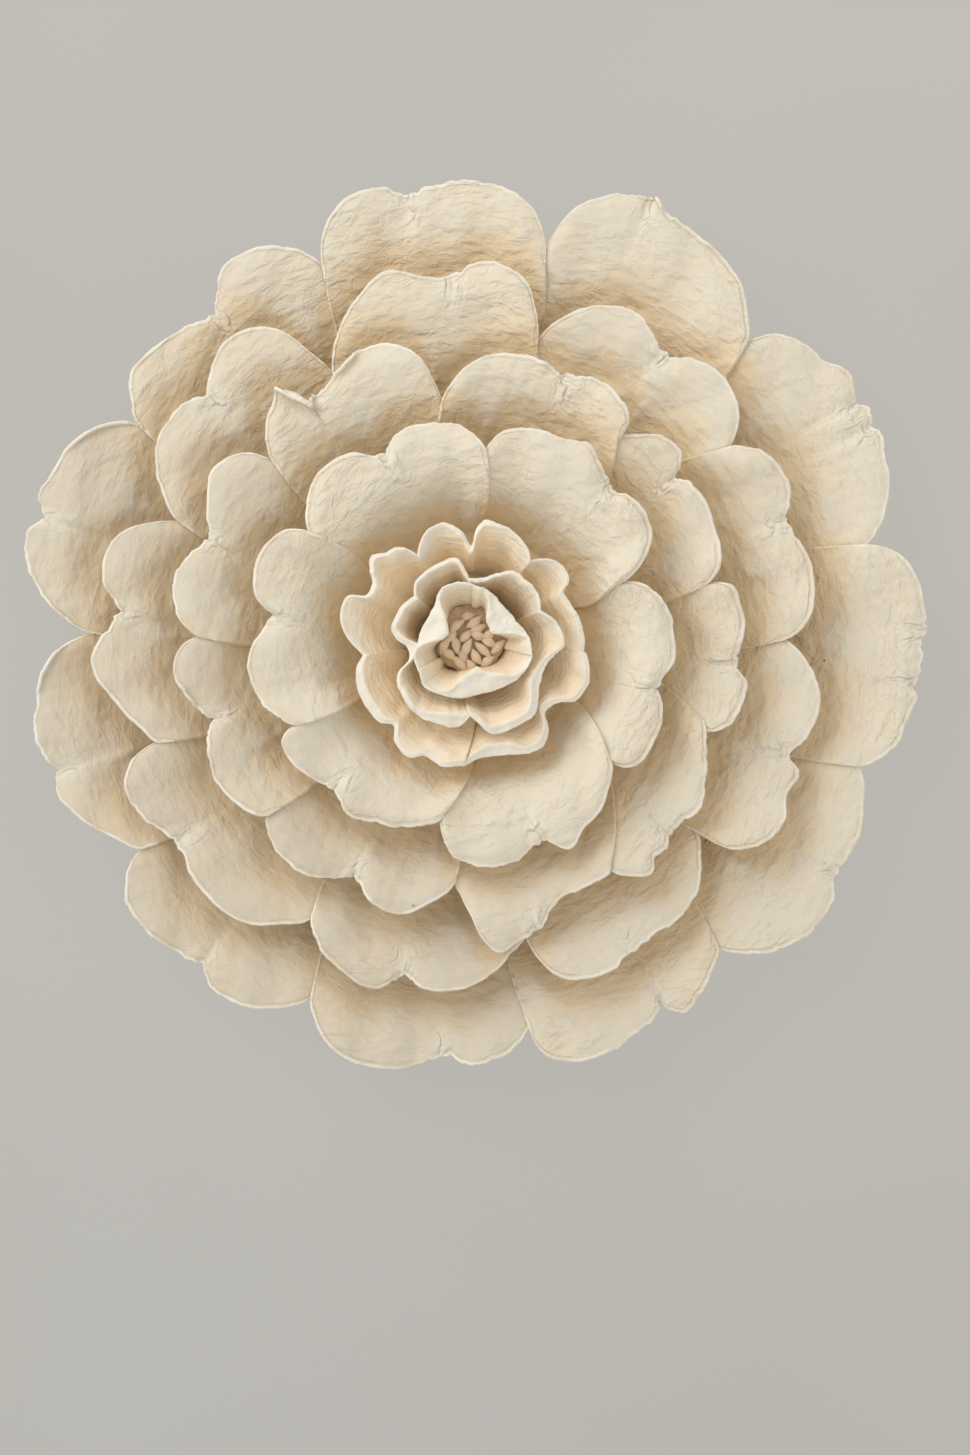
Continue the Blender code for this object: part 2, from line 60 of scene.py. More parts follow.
# Petals in order, anticlockwise from the flower's right. For each: whether it
# covers the end of the one before it, how far its start leans over at the tab
# in degrees, and the points of its rim, degrees and then mm from the axis.
outerRims = [
    (True, 0, [(342, 270), (345, 288), (351, 297), (358, 300), (363, 303), (367, 301), (370.5, 294),
     (373.5, 269)]),
    (False, 0, [(13.5, 269), (17.7, 290), (21.4, 299), (24.6, 302.5), (26.4, 305.5), (27.7, 302.5),
     (29, 306), (30.4, 305), (31.5, 300.5), (33.3, 306), (35.8, 307.5), (38.1, 300), (42, 296),
     (44.5, 289), (47, 270)]),
    (True, 0, [(47, 270), (49.5, 284), (53, 298), (57.5, 306), (63.5, 311), (68, 317), (72, 311),
     (75.5, 299), (79, 261)]),
    (True, 0, [(79, 261), (82.5, 293), (87, 303), (92, 305), (98, 299), (102, 307), (106, 304),
     (109, 292), (111.5, 266)]),
    (False, 0, [(111.5, 266), (114.5, 286), (119, 297), (123.5, 297), (128, 275), (132.5, 281),
     (137.5, 286), (141.5, 287), (144.5, 277), (147, 261)]),
    (False, 0, [(147, 261), (149, 279), (153, 293), (158, 299), (162, 301), (163.7, 295),
     (167, 303), (171, 296), (175, 281), (179, 249)]),
    (False, 0, [(179, 249), (183, 281), (188.5, 291), (193.5, 296), (197, 289), (200.5, 292),
     (204.5, 285), (209, 271), (212.5, 258)]),
    (False, 0, [(212.5, 258), (214, 274), (217, 286), (222, 289), (227, 284), (230.5, 280),
     (233, 287), (238, 286), (242, 277), (246, 259)]),
    (True, 0, [(246, 259), (248, 274), (252, 288), (257, 291), (262, 286), (266, 276), (270.5, 282),
     (275, 276), (278.7, 258)]),
    (True, 0, [(278.7, 258), (280.5, 281), (284.5, 289), (289.5, 288), (294.5, 281), (298, 276),
     (300, 285), (303, 281), (306, 273), (309, 262)]),
    (False, 0, [(309, 262), (311, 276), (314.5, 289), (319.5, 298), (324.5, 296), (327.5, 288),
     (332.5, 290), (337, 284), (342, 270)]),
]
thirdRims = [
    (True, 0, [(320, 200), (322.5, 228), (326, 237), (330, 240), (334, 233), (337.4, 235),
     (340, 224), (343, 230), (347, 235), (352, 233), (356, 224), (360, 208)]),
    (True, 0, [(0, 208), (4, 226), (8, 230), (12.5, 231), (17, 227), (20.5, 222), (24, 232),
     (29, 235), (33.5, 228), (36.7, 213)]),
    (False, 6, [(36.7, 213), (40, 232), (45.5, 241), (50.5, 239), (54.5, 230), (58, 232), (62, 242),
     (67.5, 239), (72.5, 227), (77.3, 201)]),
    (True, 0, [(77.3, 201), (78.7, 222), (81.5, 241), (85, 249), (90, 248), (92, 241), (97.5, 242),
     (102.5, 250), (108.5, 237), (114, 218), (117.3, 197)]),
    (False, 0, [(117.3, 197), (119.5, 221), (122, 242), (126.5, 254), (130.5, 254), (133.5, 248),
     (136.5, 239), (141.5, 246), (148, 244), (153.5, 229), (158, 207)]),
    (False, 0, [(158, 207), (160, 225), (163, 241), (167.5, 248), (171.5, 244), (175.5, 231),
     (179, 242), (183.5, 251), (189.5, 239), (195, 226), (198.3, 217)]),
    (False, 0, [(198.3, 217), (200, 239), (204, 249), (209, 245), (215, 235), (220, 241),
     (225, 243), (231.5, 239), (236, 227), (240.3, 212)]),
    (True, 0, [(240.3, 212), (243, 224), (249, 235), (255, 239), (258.3, 226), (263, 233),
     (268.5, 231), (273.5, 222), (277, 211), (280.7, 199)]),
    (True, 0, [(280.7, 199), (282, 215), (285, 231), (289, 237), (294, 237), (297.5, 232),
     (302, 230), (308, 229.5), (313, 222), (317, 209), (320, 196)]),
]
secondRims = [
    (False, 11, [(339.3, 171), (341, 178), (343.7, 183), (347, 184), (351, 184.5), (354.7, 174),
     (358, 178), (363, 181), (368, 179.5), (371, 178), (373, 160)]),
    (True, 0, [(13, 160), (15.5, 171), (20, 176), (25, 177), (31, 180), (35.5, 177), (38.3, 172),
     (41, 184), (45, 186), (50, 176), (53.5, 166)]),
    (True, -8, [(53.5, 166), (54.5, 181), (59, 188), (65.5, 190), (69.5, 184), (75, 189), (82, 190),
     (88.5, 184), (93.5, 172), (97, 157)]),
    (False, 0, [(97, 157), (98.5, 176), (101.5, 194), (106.5, 203), (113, 201), (119, 192),
     (123.5, 188), (127.5, 205), (132, 199), (135.5, 188), (138, 174)]),
    (False, 0, [(138, 174), (141.5, 196), (146.5, 203), (153, 194), (159.2, 184), (165, 196),
     (171.5, 198), (176.5, 190), (179.5, 177)]),
    (False, 0, [(179.5, 177), (181.5, 190), (185, 196), (190, 192), (197, 178.5), (202, 186),
     (208, 191), (215, 188), (221, 177)]),
    (False, 0, [(221, 177), (223.8, 184), (227.5, 188), (233, 190), (239, 183), (243.8, 172.5),
     (249, 184), (255, 187), (260.5, 178), (266.5, 161)]),
    (False, 0, [(266.5, 161), (268.5, 172), (270.5, 183), (272.5, 197), (275.3, 207), (279, 201),
     (283, 197), (286.5, 186), (290, 180), (296, 180.5), (301.5, 178)]),
    (False, 22, [(301.5, 178), (304.5, 189), (308, 195), (310.2, 188), (312.5, 189), (315.7, 183),
     (319.5, 185), (324, 187.5), (330, 179), (335.5, 172), (339.3, 165)]),
]
firstRims = [
    (False, 12, [(319.3, 122), (320.8, 133), (324, 137.5), (331, 138), (338, 136), (342, 132),
     (345.3, 125.5), (349, 129.5), (354, 134.5), (360, 134), (367, 132), (374, 126), (380.5, 107)]),
    (True, -4, [(20.5, 107), (24, 124), (30.5, 138), (37, 142), (43, 139), (47, 135.5), (52, 141),
     (57.5, 149), (65, 145), (74, 143.5), (81, 137), (85, 123)]),
    (True, 0, [(85, 123), (89.5, 135), (95, 141.5), (103, 144), (109, 143.5), (114.5, 133),
     (118, 136), (122, 143.5), (128.5, 147.5), (135, 145.5), (141, 137.5), (146.5, 125)]),
    (True, 0, [(146.5, 125), (149.6, 140), (155, 147), (163, 148), (168.5, 143), (173, 130.5),
     (177, 134.5), (182, 143), (188, 146.5), (196, 143), (202.5, 135), (206.5, 126)]),
    (False, 0, [(206.5, 126), (208.5, 140), (213, 142), (220, 139), (228.3, 132.5), (231.5, 137),
     (236, 139.5), (243.6, 134.5), (250, 131), (256, 126), (261, 120)]),
    (False, 12, [(261, 120), (263, 133), (266, 143), (272, 148.5), (281, 149), (287.5, 142),
     (291, 142), (295.5, 152.5), (301.5, 144), (306.5, 142), (312, 134.5), (319.3, 122)]),
]
outerBudRims = [
    (False, 0, [(353, 75), (360, 75), (370, 73), (381, 69), (386.5, 68.5), (390, 75), (398, 77),
     (405, 74), (412, 65)]),
    (True, 0, [(52, 65), (57, 70.5), (64, 74), (75, 77.5), (82, 78.5), (85.5, 74), (89, 61),
     (95, 71), (103, 78), (112, 76), (118, 70.5), (122, 65)]),
    (False, 0, [(122, 65), (127, 75), (134, 79), (140, 84), (145, 80), (150, 73.5), (157, 73.5),
     (161, 85), (168, 86.5), (178, 81.5), (188.5, 71)]),
    (True, 0, [(188.5, 71), (195, 77.5), (205, 80.5), (216, 81), (222, 80.5), (227, 75.5),
     (234, 83.5), (244, 86.5), (248, 82.5), (258, 85.5), (267, 83.5)]),
    (False, 10, [(267, 83.5), (273, 78.5), (284, 79), (294, 82.5), (305, 85), (309.5, 80),
     (314, 69), (321, 70), (331, 81), (340, 83), (348, 80), (353, 77)]),
]
middleBudRims = [
    (True, -9, [(270, 51), (276, 56), (282, 63), (292, 65), (303, 65), (311, 65), (318, 60),
     (330, 53), (341, 53), (349, 56), (355, 61), (365, 60.5), (374, 56), (382, 50)]),
    (False, 0, [(22, 50), (30, 52.5), (42, 53.5), (57, 52), (66, 47), (75, 42), (84, 40),
     (91, 40)]),
    (False, 0, [(91, 40), (94.5, 46), (98.5, 53), (112, 53), (125, 52.5), (134, 51), (142, 46)]),
    (True, 0, [(142, 46), (150, 48.5), (161, 50), (173, 51.5), (180, 48), (190, 41), (201, 42),
     (206, 52), (220, 58), (236, 60), (252, 59.5), (263, 57.5), (270, 51)]),
]
innerBudRims = [
    (True, 0, [(345, 42.5), (357, 40), (372, 35), (388, 31), (402, 30.5), (418, 32), (432, 34),
     (446, 35.5)]),
    (False, 0, [(86, 35.5), (98, 37.5), (112, 38), (124, 36), (137, 31.5), (151, 30.5), (168, 31.5),
     (184, 34), (198, 38), (212, 40)]),
    (True, 0, [(212, 40), (226, 43), (242, 41), (258, 39.5), (275, 37), (293, 37), (308, 38.5),
     (322, 41), (334, 42), (345, 42.5)]),
]
# Folds that pull a rim in: degrees, depth in mm and half width in degrees.
outerFolds = [(1, 2, 2), (27.7, 3, 2), (31.5, 4, 2), (67.5, 2, 1), (98, 3, 4), (128, 5, 4),
              (163.7, 4, 3), (198, 4, 3), (230.5, 4, 4), (266, 4, 4), (298, 4, 3), (327.5, 3, 3),
              (354.5, 2, 2)]
thirdFolds = [(56, 4, 4), (92.5, 3, 3), (136.5, 4, 4), (176, 5, 4), (215, 4, 4), (258.3, 3, 3),
              (297.5, 3, 3), (340, 4, 3), (20.5, 3, 3)]
secondFolds = [(38.3, 4, 3), (69.5, 2, 3), (123.5, 5, 4), (159.2, 5, 4), (197, 4, 4), (243.8, 5, 4),
               (283, 3, 4), (316, 3, 4), (354.7, 4, 3)]
firstFolds = [(47, 3, 4), (114.5, 5, 4), (173, 5, 5), (228.3, 3, 4), (289, 4, 4), (345.3, 4, 4)]

# Lips of the bud petals: degrees, then how wide the margin rolls outwards in mm.
outerBudLips = [(0, 2.5), (20, 4), (35, 2), (50, 1.5), (70, 1.5), (84, 5), (95, 5), (105, 2),
                (122, 2), (140, 4), (150, 4), (165, 2.5), (185, 2), (200, 6), (215, 6), (228, 4),
                (245, 3), (262, 4), (275, 7), (285, 8), (297, 5), (310, 6), (325, 4), (340, 4)]
middleBudLips = [(11, 1.5), (25, 1.5), (44, 3), (59, 3), (75, 3), (88, 2), (95, 5), (103, 3),
                 (119, 3), (132, 2), (146, 3), (168, 3.5), (182, 5), (190, 7), (205, 3), (232, 3.5),
                 (247, 7), (262, 9), (270, 3), (288, 6), (303, 5), (321, 7), (338, 5), (347, 4)]
innerBudLips = [(0, 2), (4, 5), (12, 15), (30, 13.5), (44, 12.5), (57, 9.5), (66, 4.5), (74, 2.5),
                (88, 1.5), (115, 1.5), (128, 3.5), (144, 11), (166, 14), (180, 13), (188, 4),
                (194, 1.5), (235, 1.5), (248, 5), (256, 11), (270, 13.5), (285, 14.5), (300, 11),
                (310, 8), (321, 3.5), (330, 1.5), (350, 1.5)]

# Sizes in mm; base is the middle of the sheet where it is glued down, rise its
# climb from there. ridge is how far a petal swells beside a joint and ridgeWide
# how many degrees that takes. turnedUp is a margin that curls up: degrees, half
# width in degrees, width of the paper in it and radius of its roll.
openPetal = dict(upright=0.0, lap=2.6, lapRise=3.4, lapShort=6.0, jointBow=2.2, curl=3.0, ridge=5.0,
                 ridgeWide=13.0, torn=1.0, columns=84, turnedUp=[], slot="ring_paper")
budPetal = dict(base=56.5, bend=1.25, lap=6.0, lapRise=2.2, lapShort=0.0, jointBow=0.0, torn=0.75,
                columns=90, folds=[], slot="bud_paper")
# shadeDepth is how far in mm a ring's painted shade reaches past the rim of the ring above.
rings = {
    "outer_petal": dict(
        openPetal, rims=outerRims, folds=outerFolds, tabIn=112.0, tabOut=132.0, base=7.3, rise=37.0,
        reach=295.0, bend=1.6, dip=5.0, shadeDepth=40.0,
        turnedUp=[(66.6, 0.9, 9.0, 3.5), (151, 4.0, 6.5, 4.0), (184, 3.0, 6.5, 4.0)]),
    "third_petal": dict(
        openPetal, rims=thirdRims, folds=thirdFolds, tabIn=94.5, tabOut=108.0, base=19.6, rise=47.0,
        reach=240.0, bend=1.7, dip=5.0, shadeDepth=38.0),
    "second_petal": dict(
        openPetal, rims=secondRims, folds=secondFolds, tabIn=76.0, tabOut=90.5, base=31.9,
        rise=56.0, reach=188.0, bend=1.8, dip=4.5, shadeDepth=36.0,
        turnedUp=[(125.5, 2.5, 19.0, 6.0), (114.2, 3.0, 8.0, 4.0), (191, 3.0, 7.0, 4.0)]),
    "first_petal": dict(
        openPetal, rims=firstRims, folds=firstFolds, tabIn=56.0, tabOut=72.0, base=44.2, rise=62.0,
        reach=142.0, bend=3.2, dip=2.0, shadeDepth=24.0),
    "outer_bud_petal": dict(budPetal, rims=outerBudRims, lips=outerBudLips, tabIn=39.0, tabOut=44.0,
                            rise=54.0, upright=1.6),
    "middle_bud_petal": dict(budPetal, rims=middleBudRims, lips=middleBudLips, tabIn=27.0,
                             tabOut=33.0, rise=61.0, upright=1.6),
    "inner_bud_petal": dict(budPetal, rims=innerBudRims, lips=innerBudLips, tabIn=14.0, tabOut=19.0,
                            rise=64.0, upright=1.7),
}
sideGap = 1.4  # mm between two tabs
dipWidth = 17.0  # mm from a dip's bottom to where the petal levels out


# One petal's rim as a smooth curve through its traced points: a cubic through
# each pair by their chord, leaving each cleft along the joint, and with a
# corner where a fold pulls the rim in.
def rimCurve(ring, petal, samples=600):
    deg = np.array([p[0] for p in petal["rim"]], float)
    radius = np.array([p[1] for p in petal["rim"]], float)
    turn = np.radians(deg)
    points = np.stack([radius * np.cos(turn), radius * np.sin(turn)], 1)
    chord = np.linalg.norm(np.diff(points, axis=0), axis=1)
    t = np.concatenate([[0], np.cumsum(chord)])
    step = np.diff(points, axis=0) / chord[:, None]
    weight = 1 / chord
    inner = (step[:-1] * weight[:-1, None] + step[1:] * weight[1:, None])
    inner /= (weight[:-1] + weight[1:])[:, None]
    leave = np.concatenate([step[:1], inner, step[-1:]])
    arrive = leave.copy()
    if not ring["upright"]:
        leave[0] = 0.75 * points[0] / radius[0] + 0.25 * step[0]
        arrive[-1] = -0.75 * points[-1] / radius[-1] + 0.25 * step[-1]
    for k in range(1, len(deg) - 1):
        folded = any(apart(deg[k], f[0]) < 1.0 for f in ring["folds"])
        if folded and radius[k] < min(radius[k - 1], radius[k + 1]):
            arrive[k] = 0.3 * leave[k] + 0.7 * step[k - 1]
            leave[k] = 0.3 * leave[k] + 0.7 * step[k]
    where = np.linspace(0, t[-1], samples)
    k = np.clip(np.searchsorted(t, where, side="right") - 1, 0, len(t) - 2)
    s = ((where - t[k]) / chord[k])[:, None]
    curve = ((2 * s**3 - 3 * s**2 + 1) * points[k] + (3 * s**2 - 2 * s**3) * points[k + 1]
             + (s**3 - 2 * s**2 + s) * leave[k] * chord[k][:, None]
             + (s**3 - s**2) * arrive[k + 1] * chord[k][:, None])
    length = np.concatenate([[0], np.cumsum(np.linalg.norm(np.diff(curve, axis=0), axis=1))])
    angle = np.degrees(np.unwrap(np.arctan2(curve[:, 1], curve[:, 0])))
    angle += 360.0 * round((deg[0] - angle[0]) / 360.0)
    return length, angle, np.linalg.norm(curve, axis=1)


# Hand-torn edge: short waves whose size itself comes and goes along the rim,
# rougher close to a fold.
def tornEdge(length, angle, ring, seed):
    waves = np.zeros_like(length)
    for k, size in enumerate((27.0, 15.0, 9.0, 5.5, 3.7)):
        waves += np.sin(length * 2 * math.pi / size + seed * (k + 1.3)) * size**0.6 / 7.0
    calm = 0.35 + 0.65 * smooth(np.sin(length / 31.0 + seed) * 0.7 + 0.3)
    near = np.zeros_like(length)
    for foldDeg, _, _ in ring["folds"]:
        near += np.exp(-((apart(angle, foldDeg) / 3.0) ** 2))
    ends = smooth(length / 12.0) * smooth((length[-1] - length) / 12.0)
    return waves * (0.42 * calm + 0.9 * np.clip(near, 0, 1)) * ends


# A ring's joints between its petals, and the radius of its rims all round.
def settle(ring):
    ring["rims"] = [dict(over=over, lean=lean, rim=rim, start=rim[0][0], stop=rim[-1][0])
                    for over, lean, rim in ring["rims"]]
    ring["joints"] = [dict(deg=p["start"] % 360.0, radius=p["rim"][0][1], lean=p["lean"],
                           over=p["over"], bow=ring["jointBow"] * (-1 if p["over"] else 1))
                      for p in ring["rims"]]
    curves = [rimCurve(ring, petal) for petal in ring["rims"]]
    deg = np.concatenate([c[1] % 360.0 for c in curves])
    radius = np.concatenate([c[2] for c in curves])
    order = np.argsort(deg)
    ring["around"] = (deg[order], radius[order])


# Radius of the ring's rim in a direction.
def rimAt(ring, deg):
    return np.interp(deg % 360.0, *ring["around"], period=360.0)


# A joint's angle at a radius: it leans at the tab and bows on its way to the rim.
def jointAngle(ring, joint, radius):
    out = np.clip((radius - ring["tabOut"]) / (joint["radius"] - ring["tabOut"]), 0, 1)
    return joint["deg"] + joint["lean"] * (1.0 - out) + joint["bow"] * np.sin(math.pi * out)


# Smooth hand-made unevenness: a few long waves across the wall plane.
def unevenness(x, z, size, seed):
    total = np.zeros_like(x)
    for k in range(5):
        turn = seed * 1.7 + k * 2.399
        wave = 2 * math.pi / (size * (0.55 + 0.27 * k))
        along = x * math.cos(turn) + z * math.sin(turn)
        total += np.sin(along * wave + seed * 3.1 + k) / (1 + 0.5 * k)
    return total / 2.2


# A ring petal rises from its tab and levels out; profile in mm over v.
def bowlProfile(ring, limit, v):
    run = ring["reach"] - ring["tabOut"]
    radius = ring["tabOut"] + (limit - ring["tabOut"]) * v
    along = (radius - ring["tabOut"]) / run
    bend = ring["bend"]
    height = ring["base"] + ring["rise"] * (1 - np.abs(1 - along) ** bend)
    climb = ring["rise"] * bend * np.abs(1 - along) ** (bend - 1)
    return radius, height, along, climb, np.full_like(radius, run)


# Share of a bud petal's height that is wall: less where its lip is wide.
def wallShare(lip):
    return 0.97 - 0.27 * smooth(lip / 5.0)


# A bud petal stands up as a wall, then its margin rolls outwards as a lip.
def budProfile(ring, limit, lip, v):
    power = ring["upright"]
    wall = wallShare(lip)
    t = np.clip(v / wall, 0, 1)
    s = np.clip((v - wall) / (1 - wall), 0, 1)
    waist = limit - lip
    radius = ring["tabOut"] + (waist - ring["tabOut"]) * t**power + lip * s**1.3
    height = ring["base"] + ring["rise"] * (1 - (1 - t) ** ring["bend"])
    roll = 0.10 * np.sin(np.minimum(s * 1.6, 1) * math.pi) - 0.30 * s**2
    height = height + np.minimum(lip, 9.0) * roll
    run = (waist - ring["tabOut"]) * power * np.maximum(t, 0.02) ** (power - 1)
    climb = ring["rise"] * ring["bend"] * np.maximum(1 - t, 0.02) ** (ring["bend"] - 1)
    return radius, height, v, climb, run + s * ring["rise"]


# What a ring's folds add to the surface: each pulls the margin back with a
# swell beside it, steps across itself like a dart, and lifts a small tip.
def foldPush(ring, angle, v):
    push = np.zeros_like(angle)
    for foldDeg, depth, half in ring["folds"]:
        side = 1 if foldDeg < 180 else -1
        gap = turnFrom(angle, foldDeg)
        swell = np.exp(-(((gap - 1.6 * half) / half) ** 2))
        push -= depth * (np.exp(-((np.abs(gap) / half) ** 1.4)) - 0.45 * swell) * v**9
        dart = np.tanh(gap / 0.35) * np.exp(-((gap / 6.5) ** 2)) * smooth((v - 0.58) / 0.40)
        push -= 0.4 * side * depth * dart
        tip = gap - 1.5 * side
        push += 0.8 * depth * np.exp(-((tip / 1.2) ** 2)) * smooth((v - 0.88) / 0.12)
        fine = np.sin(gap * 2.6 + foldDeg)
        push += 0.06 * depth * fine * np.exp(-((gap / (2.2 * half)) ** 2)) * v**14
    return push


# Margins that are turned up: past the roll's start the paper follows a circle
# whose curve fades out to both sides. Also gives how far it has turned.
def rollUp(ring, angle, limit, radius, height):
    turned = np.zeros_like(radius)
    for at, half, width, roll in ring["turnedUp"]:
        amount = np.exp(-((apart(angle, at) / half) ** 4))
        curve = np.maximum(amount, 0.001) / roll
        past = np.maximum(roll - (limit - radius), 0)
        paperPast = past * (1 + amount * (width / roll - 1))
        radius = radius - past + np.sin(curve * paperPast) / curve
        height = height + (1 - np.cos(curve * paperPast)) / curve
        turned = np.maximum(turned, curve * paperPast)
    return radius, height, turned


# Middle surface of one petal. deg and limit give the rim for each column, v
# runs from the tab's edge to the rim. Returns x, y, z and radius in mm, the
# angle in degrees and how far the margin has turned up.
def petalSurface(ring, index, deg, limit, v, tabDeg, lip):
    after = (index + 1) % len(ring["rims"])
    petal = ring["rims"][index]
    share = np.clip((deg - petal["start"]) / (petal["stop"] - petal["start"]), 0, 1)
    if ring["upright"]:
        radius, height, along, climb, run = budProfile(ring, limit, lip, v)
    else:
        radius, height, along, climb, run = bowlProfile(ring, limit, v)
    size = np.hypot(run, climb)
    nOut, nUp = -climb / size, run / size
    angle = tabDeg + (deg - tabDeg) * smooth(along / 0.35)
    for k, part in ((index, 1 - share), (after, share)):
        joint = ring["joints"][k]
        angle = angle + part * (jointAngle(ring, joint, radius) - joint["deg"])
    push = np.zeros_like(radius)
    for k, joint in enumerate(ring["joints"]):
        away = apart(angle, jointAngle(ring, joint, radius))
        if not ring["upright"]:
            close = np.maximum(0.0, 1 - away / ring["ridgeWide"])
            push += ring["ridge"] * smooth(along / 0.5) * close**1.6
        if (k == index and joint["over"]) or (k == after and not joint["over"]):
            near = 1 - smooth((away - ring["lap"] - 1.0) / 8.0)
            push += ring["lapRise"] * near * smooth(along / 0.1)
    push += foldPush(ring, angle, v)
    turn = np.radians(angle)
    x, z = radius * np.cos(turn), radius * np.sin(turn)
    turned = np.zeros_like(radius)
    started = smooth(along / 0.3)
    if ring["upright"]:
        push += unevenness(x, z, 24.0, ring["rise"]) * 0.9 * started
    else:
        radius, height, turned = rollUp(ring, angle, limit, radius, height)
        beyond = radius - rimAt(ring["above"], angle)
        push -= ring["dip"] * np.exp(-((beyond / dipWidth) ** 2)) * started * (1 - v**6)
        push += unevenness(x, z, 60.0, ring["base"]) * 1.2 * started
        push += unevenness(x, z, 17.0, ring["base"] + 3.0) * 0.28 * started
        height = height - ring["curl"] * np.clip((v - 0.84) / 0.16, 0, 1) ** 2
    radius = radius + nOut * push
    height = height + nUp * push
    return radius * np.cos(turn), -height, radius * np.sin(turn), radius, angle, turned


# A mesh from arrays in mm: normals outwards, masks at its points, a flat map.
def finishMesh(name, verts, faces, masks, chart):
    data = bpy.data.meshes.new(name)
    data.from_pydata((verts * mm).tolist(), [], faces)
    shape = bmesh.new()
    shape.from_mesh(data)
    bmesh.ops.recalc_face_normals(shape, faces=shape.faces[:])
    shape.to_mesh(data)
    shape.free()
    data.polygons.foreach_set("use_smooth", np.ones(len(data.polygons), bool))
    for key, values in masks.items():
        layer = data.attributes.new(key, "FLOAT", "POINT")
        layer.data.foreach_set("value", np.broadcast_to(values, len(verts)).astype(np.float32))
    corner = np.empty(len(data.loops), np.int32)
    data.loops.foreach_get("vertex_index", corner)
    sheetMap = data.uv_layers.new(name="sheet")
    sheetMap.data.foreach_set("uv", (chart * mm)[corner].astype(np.float32).ravel())
    return data


# A sheet between two offset copies of the middle grid, with a rounded edge.
def sheetMesh(name, x, y, z, thick, masks, chart):
    rows, cols = x.shape
    mid = np.stack([x, y, z], axis=-1)
    normal = np.cross(np.gradient(mid, axis=0), np.gradient(mid, axis=1))
    normal /= np.maximum(np.linalg.norm(normal, axis=-1, keepdims=True), 1e-9)
    if normal[rows // 2, cols // 2, 1] > 0:
        normal = -normal
    half = thick[..., None] / 2
    front = (mid + normal * half).reshape(-1, 3)
    back = (mid - normal * half).reshape(-1, 3)
    ids = np.arange(rows * cols).reshape(rows, cols)
    loop = np.concatenate([ids[:, 0], ids[-1, 1:], ids[-2::-1, -1], ids[0, -2:0:-1]])
    flat = mid.reshape(-1, 3)
    edge = flat[loop]
    along = np.roll(edge, -1, axis=0) - np.roll(edge, 1, axis=0)
    outward = np.cross(along, normal.reshape(-1, 3)[loop])
    outward /= np.maximum(np.linalg.norm(outward, axis=-1, keepdims=True), 1e-9)
    if np.mean(np.sum(outward * (edge - flat.mean(axis=0)), axis=1)) < 0:
        outward = -outward
    bulge = edge + outward * (thick.reshape(-1)[loop] * 0.4)[:, None]
    verts = np.concatenate([front, back, bulge])
    n = rows * cols
    a, b = ids[:-1, :-1].ravel(), ids[1:, :-1].ravel()
    c, d = ids[1:, 1:].ravel(), ids[:-1, 1:].ravel()
    here = np.arange(len(loop))
    there = np.roll(here, -1)
    faces = np.concatenate([
        np.stack([a, b, c, d], 1), np.stack([d, c, b, a], 1) + n,
        np.stack([loop[here], 2 * n + here, 2 * n + there, loop[there]], 1),
        np.stack([2 * n + here, loop[here] + n, loop[there] + n, 2 * n + there], 1)])
    spread = {}
    for key, mask in masks.items():
        mask = mask.reshape(-1)
        # the back of the sheet takes less of the painted shade
        behind = 0.3 * mask if key == "shadeDepth" else mask
        spread[key] = np.concatenate([mask, behind, mask[loop]])
    flatChart = np.stack([chart[0].reshape(-1), chart[1].reshape(-1)], 1)
    perPoint = np.concatenate([flatChart, flatChart, flatChart[loop]])
    return finishMesh(name, verts, faces.tolist(), spread, perPoint)


def addPiece(name, data, material, slotName, *nodes):
    piece = bpy.data.objects.new(name, data)
    bpy.context.scene.collection.objects.link(piece)
    data.materials.append(material)
    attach(piece, "root")
    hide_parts(*nodes)


# Feeds a node's inputs with numbers, colours or other nodes' outputs.
def feed(node, feeds):
    for socket, value in feeds.items():
        if isinstance(value, bpy.types.NodeSocket):
            node.id_data.links.new(value, node.inputs[socket])
        else:
            node.inputs[socket].default_value = value


def addNode(tree, kind, feeds=None, **settings):
    node = tree.nodes.new("ShaderNode" + kind)
    for key, value in settings.items():
        setattr(node, key, value)
    feed(node, feeds or {})
    return node


# A colour between two stops, each a value and its colour.
def addRamp(tree, value, *stops):
    ramp = addNode(tree, "ValToRGB", {"Fac": value})
    for element, (position, colour) in zip(ramp.color_ramp.elements, stops):
        element.position = position
        element.color = (*colour, 1)
    return ramp.outputs["Color"]


def newMaterial(name):
    material = bpy.data.materials.new(name)
    material.use_nodes = True
    tree = material.node_tree
    return material, tree, tree.nodes["Principled BSDF"]


# The marks of hand-pressed pulp, in repeats per metre, and fixed colours: the torn edges'
# white, which also paints highlights, the pinholes, and the painted shade of the lower left side.
pulp = dict(blotch=15.0, lumps=48.0, dents=110.0, creases=30.0, grain=900.0, hollows=92.0,
            wrinkles=120.0, folds=95.0, pits=55.0, warp=62.0, warpBy=0.011,
            tornWhiteAndHighlight=(0.96, 0.92, 0.82, 1), pit=(0.22, 0.17, 0.12, 1),
            sideShadeColour=(0.33, 0.26, 0.18, 1))
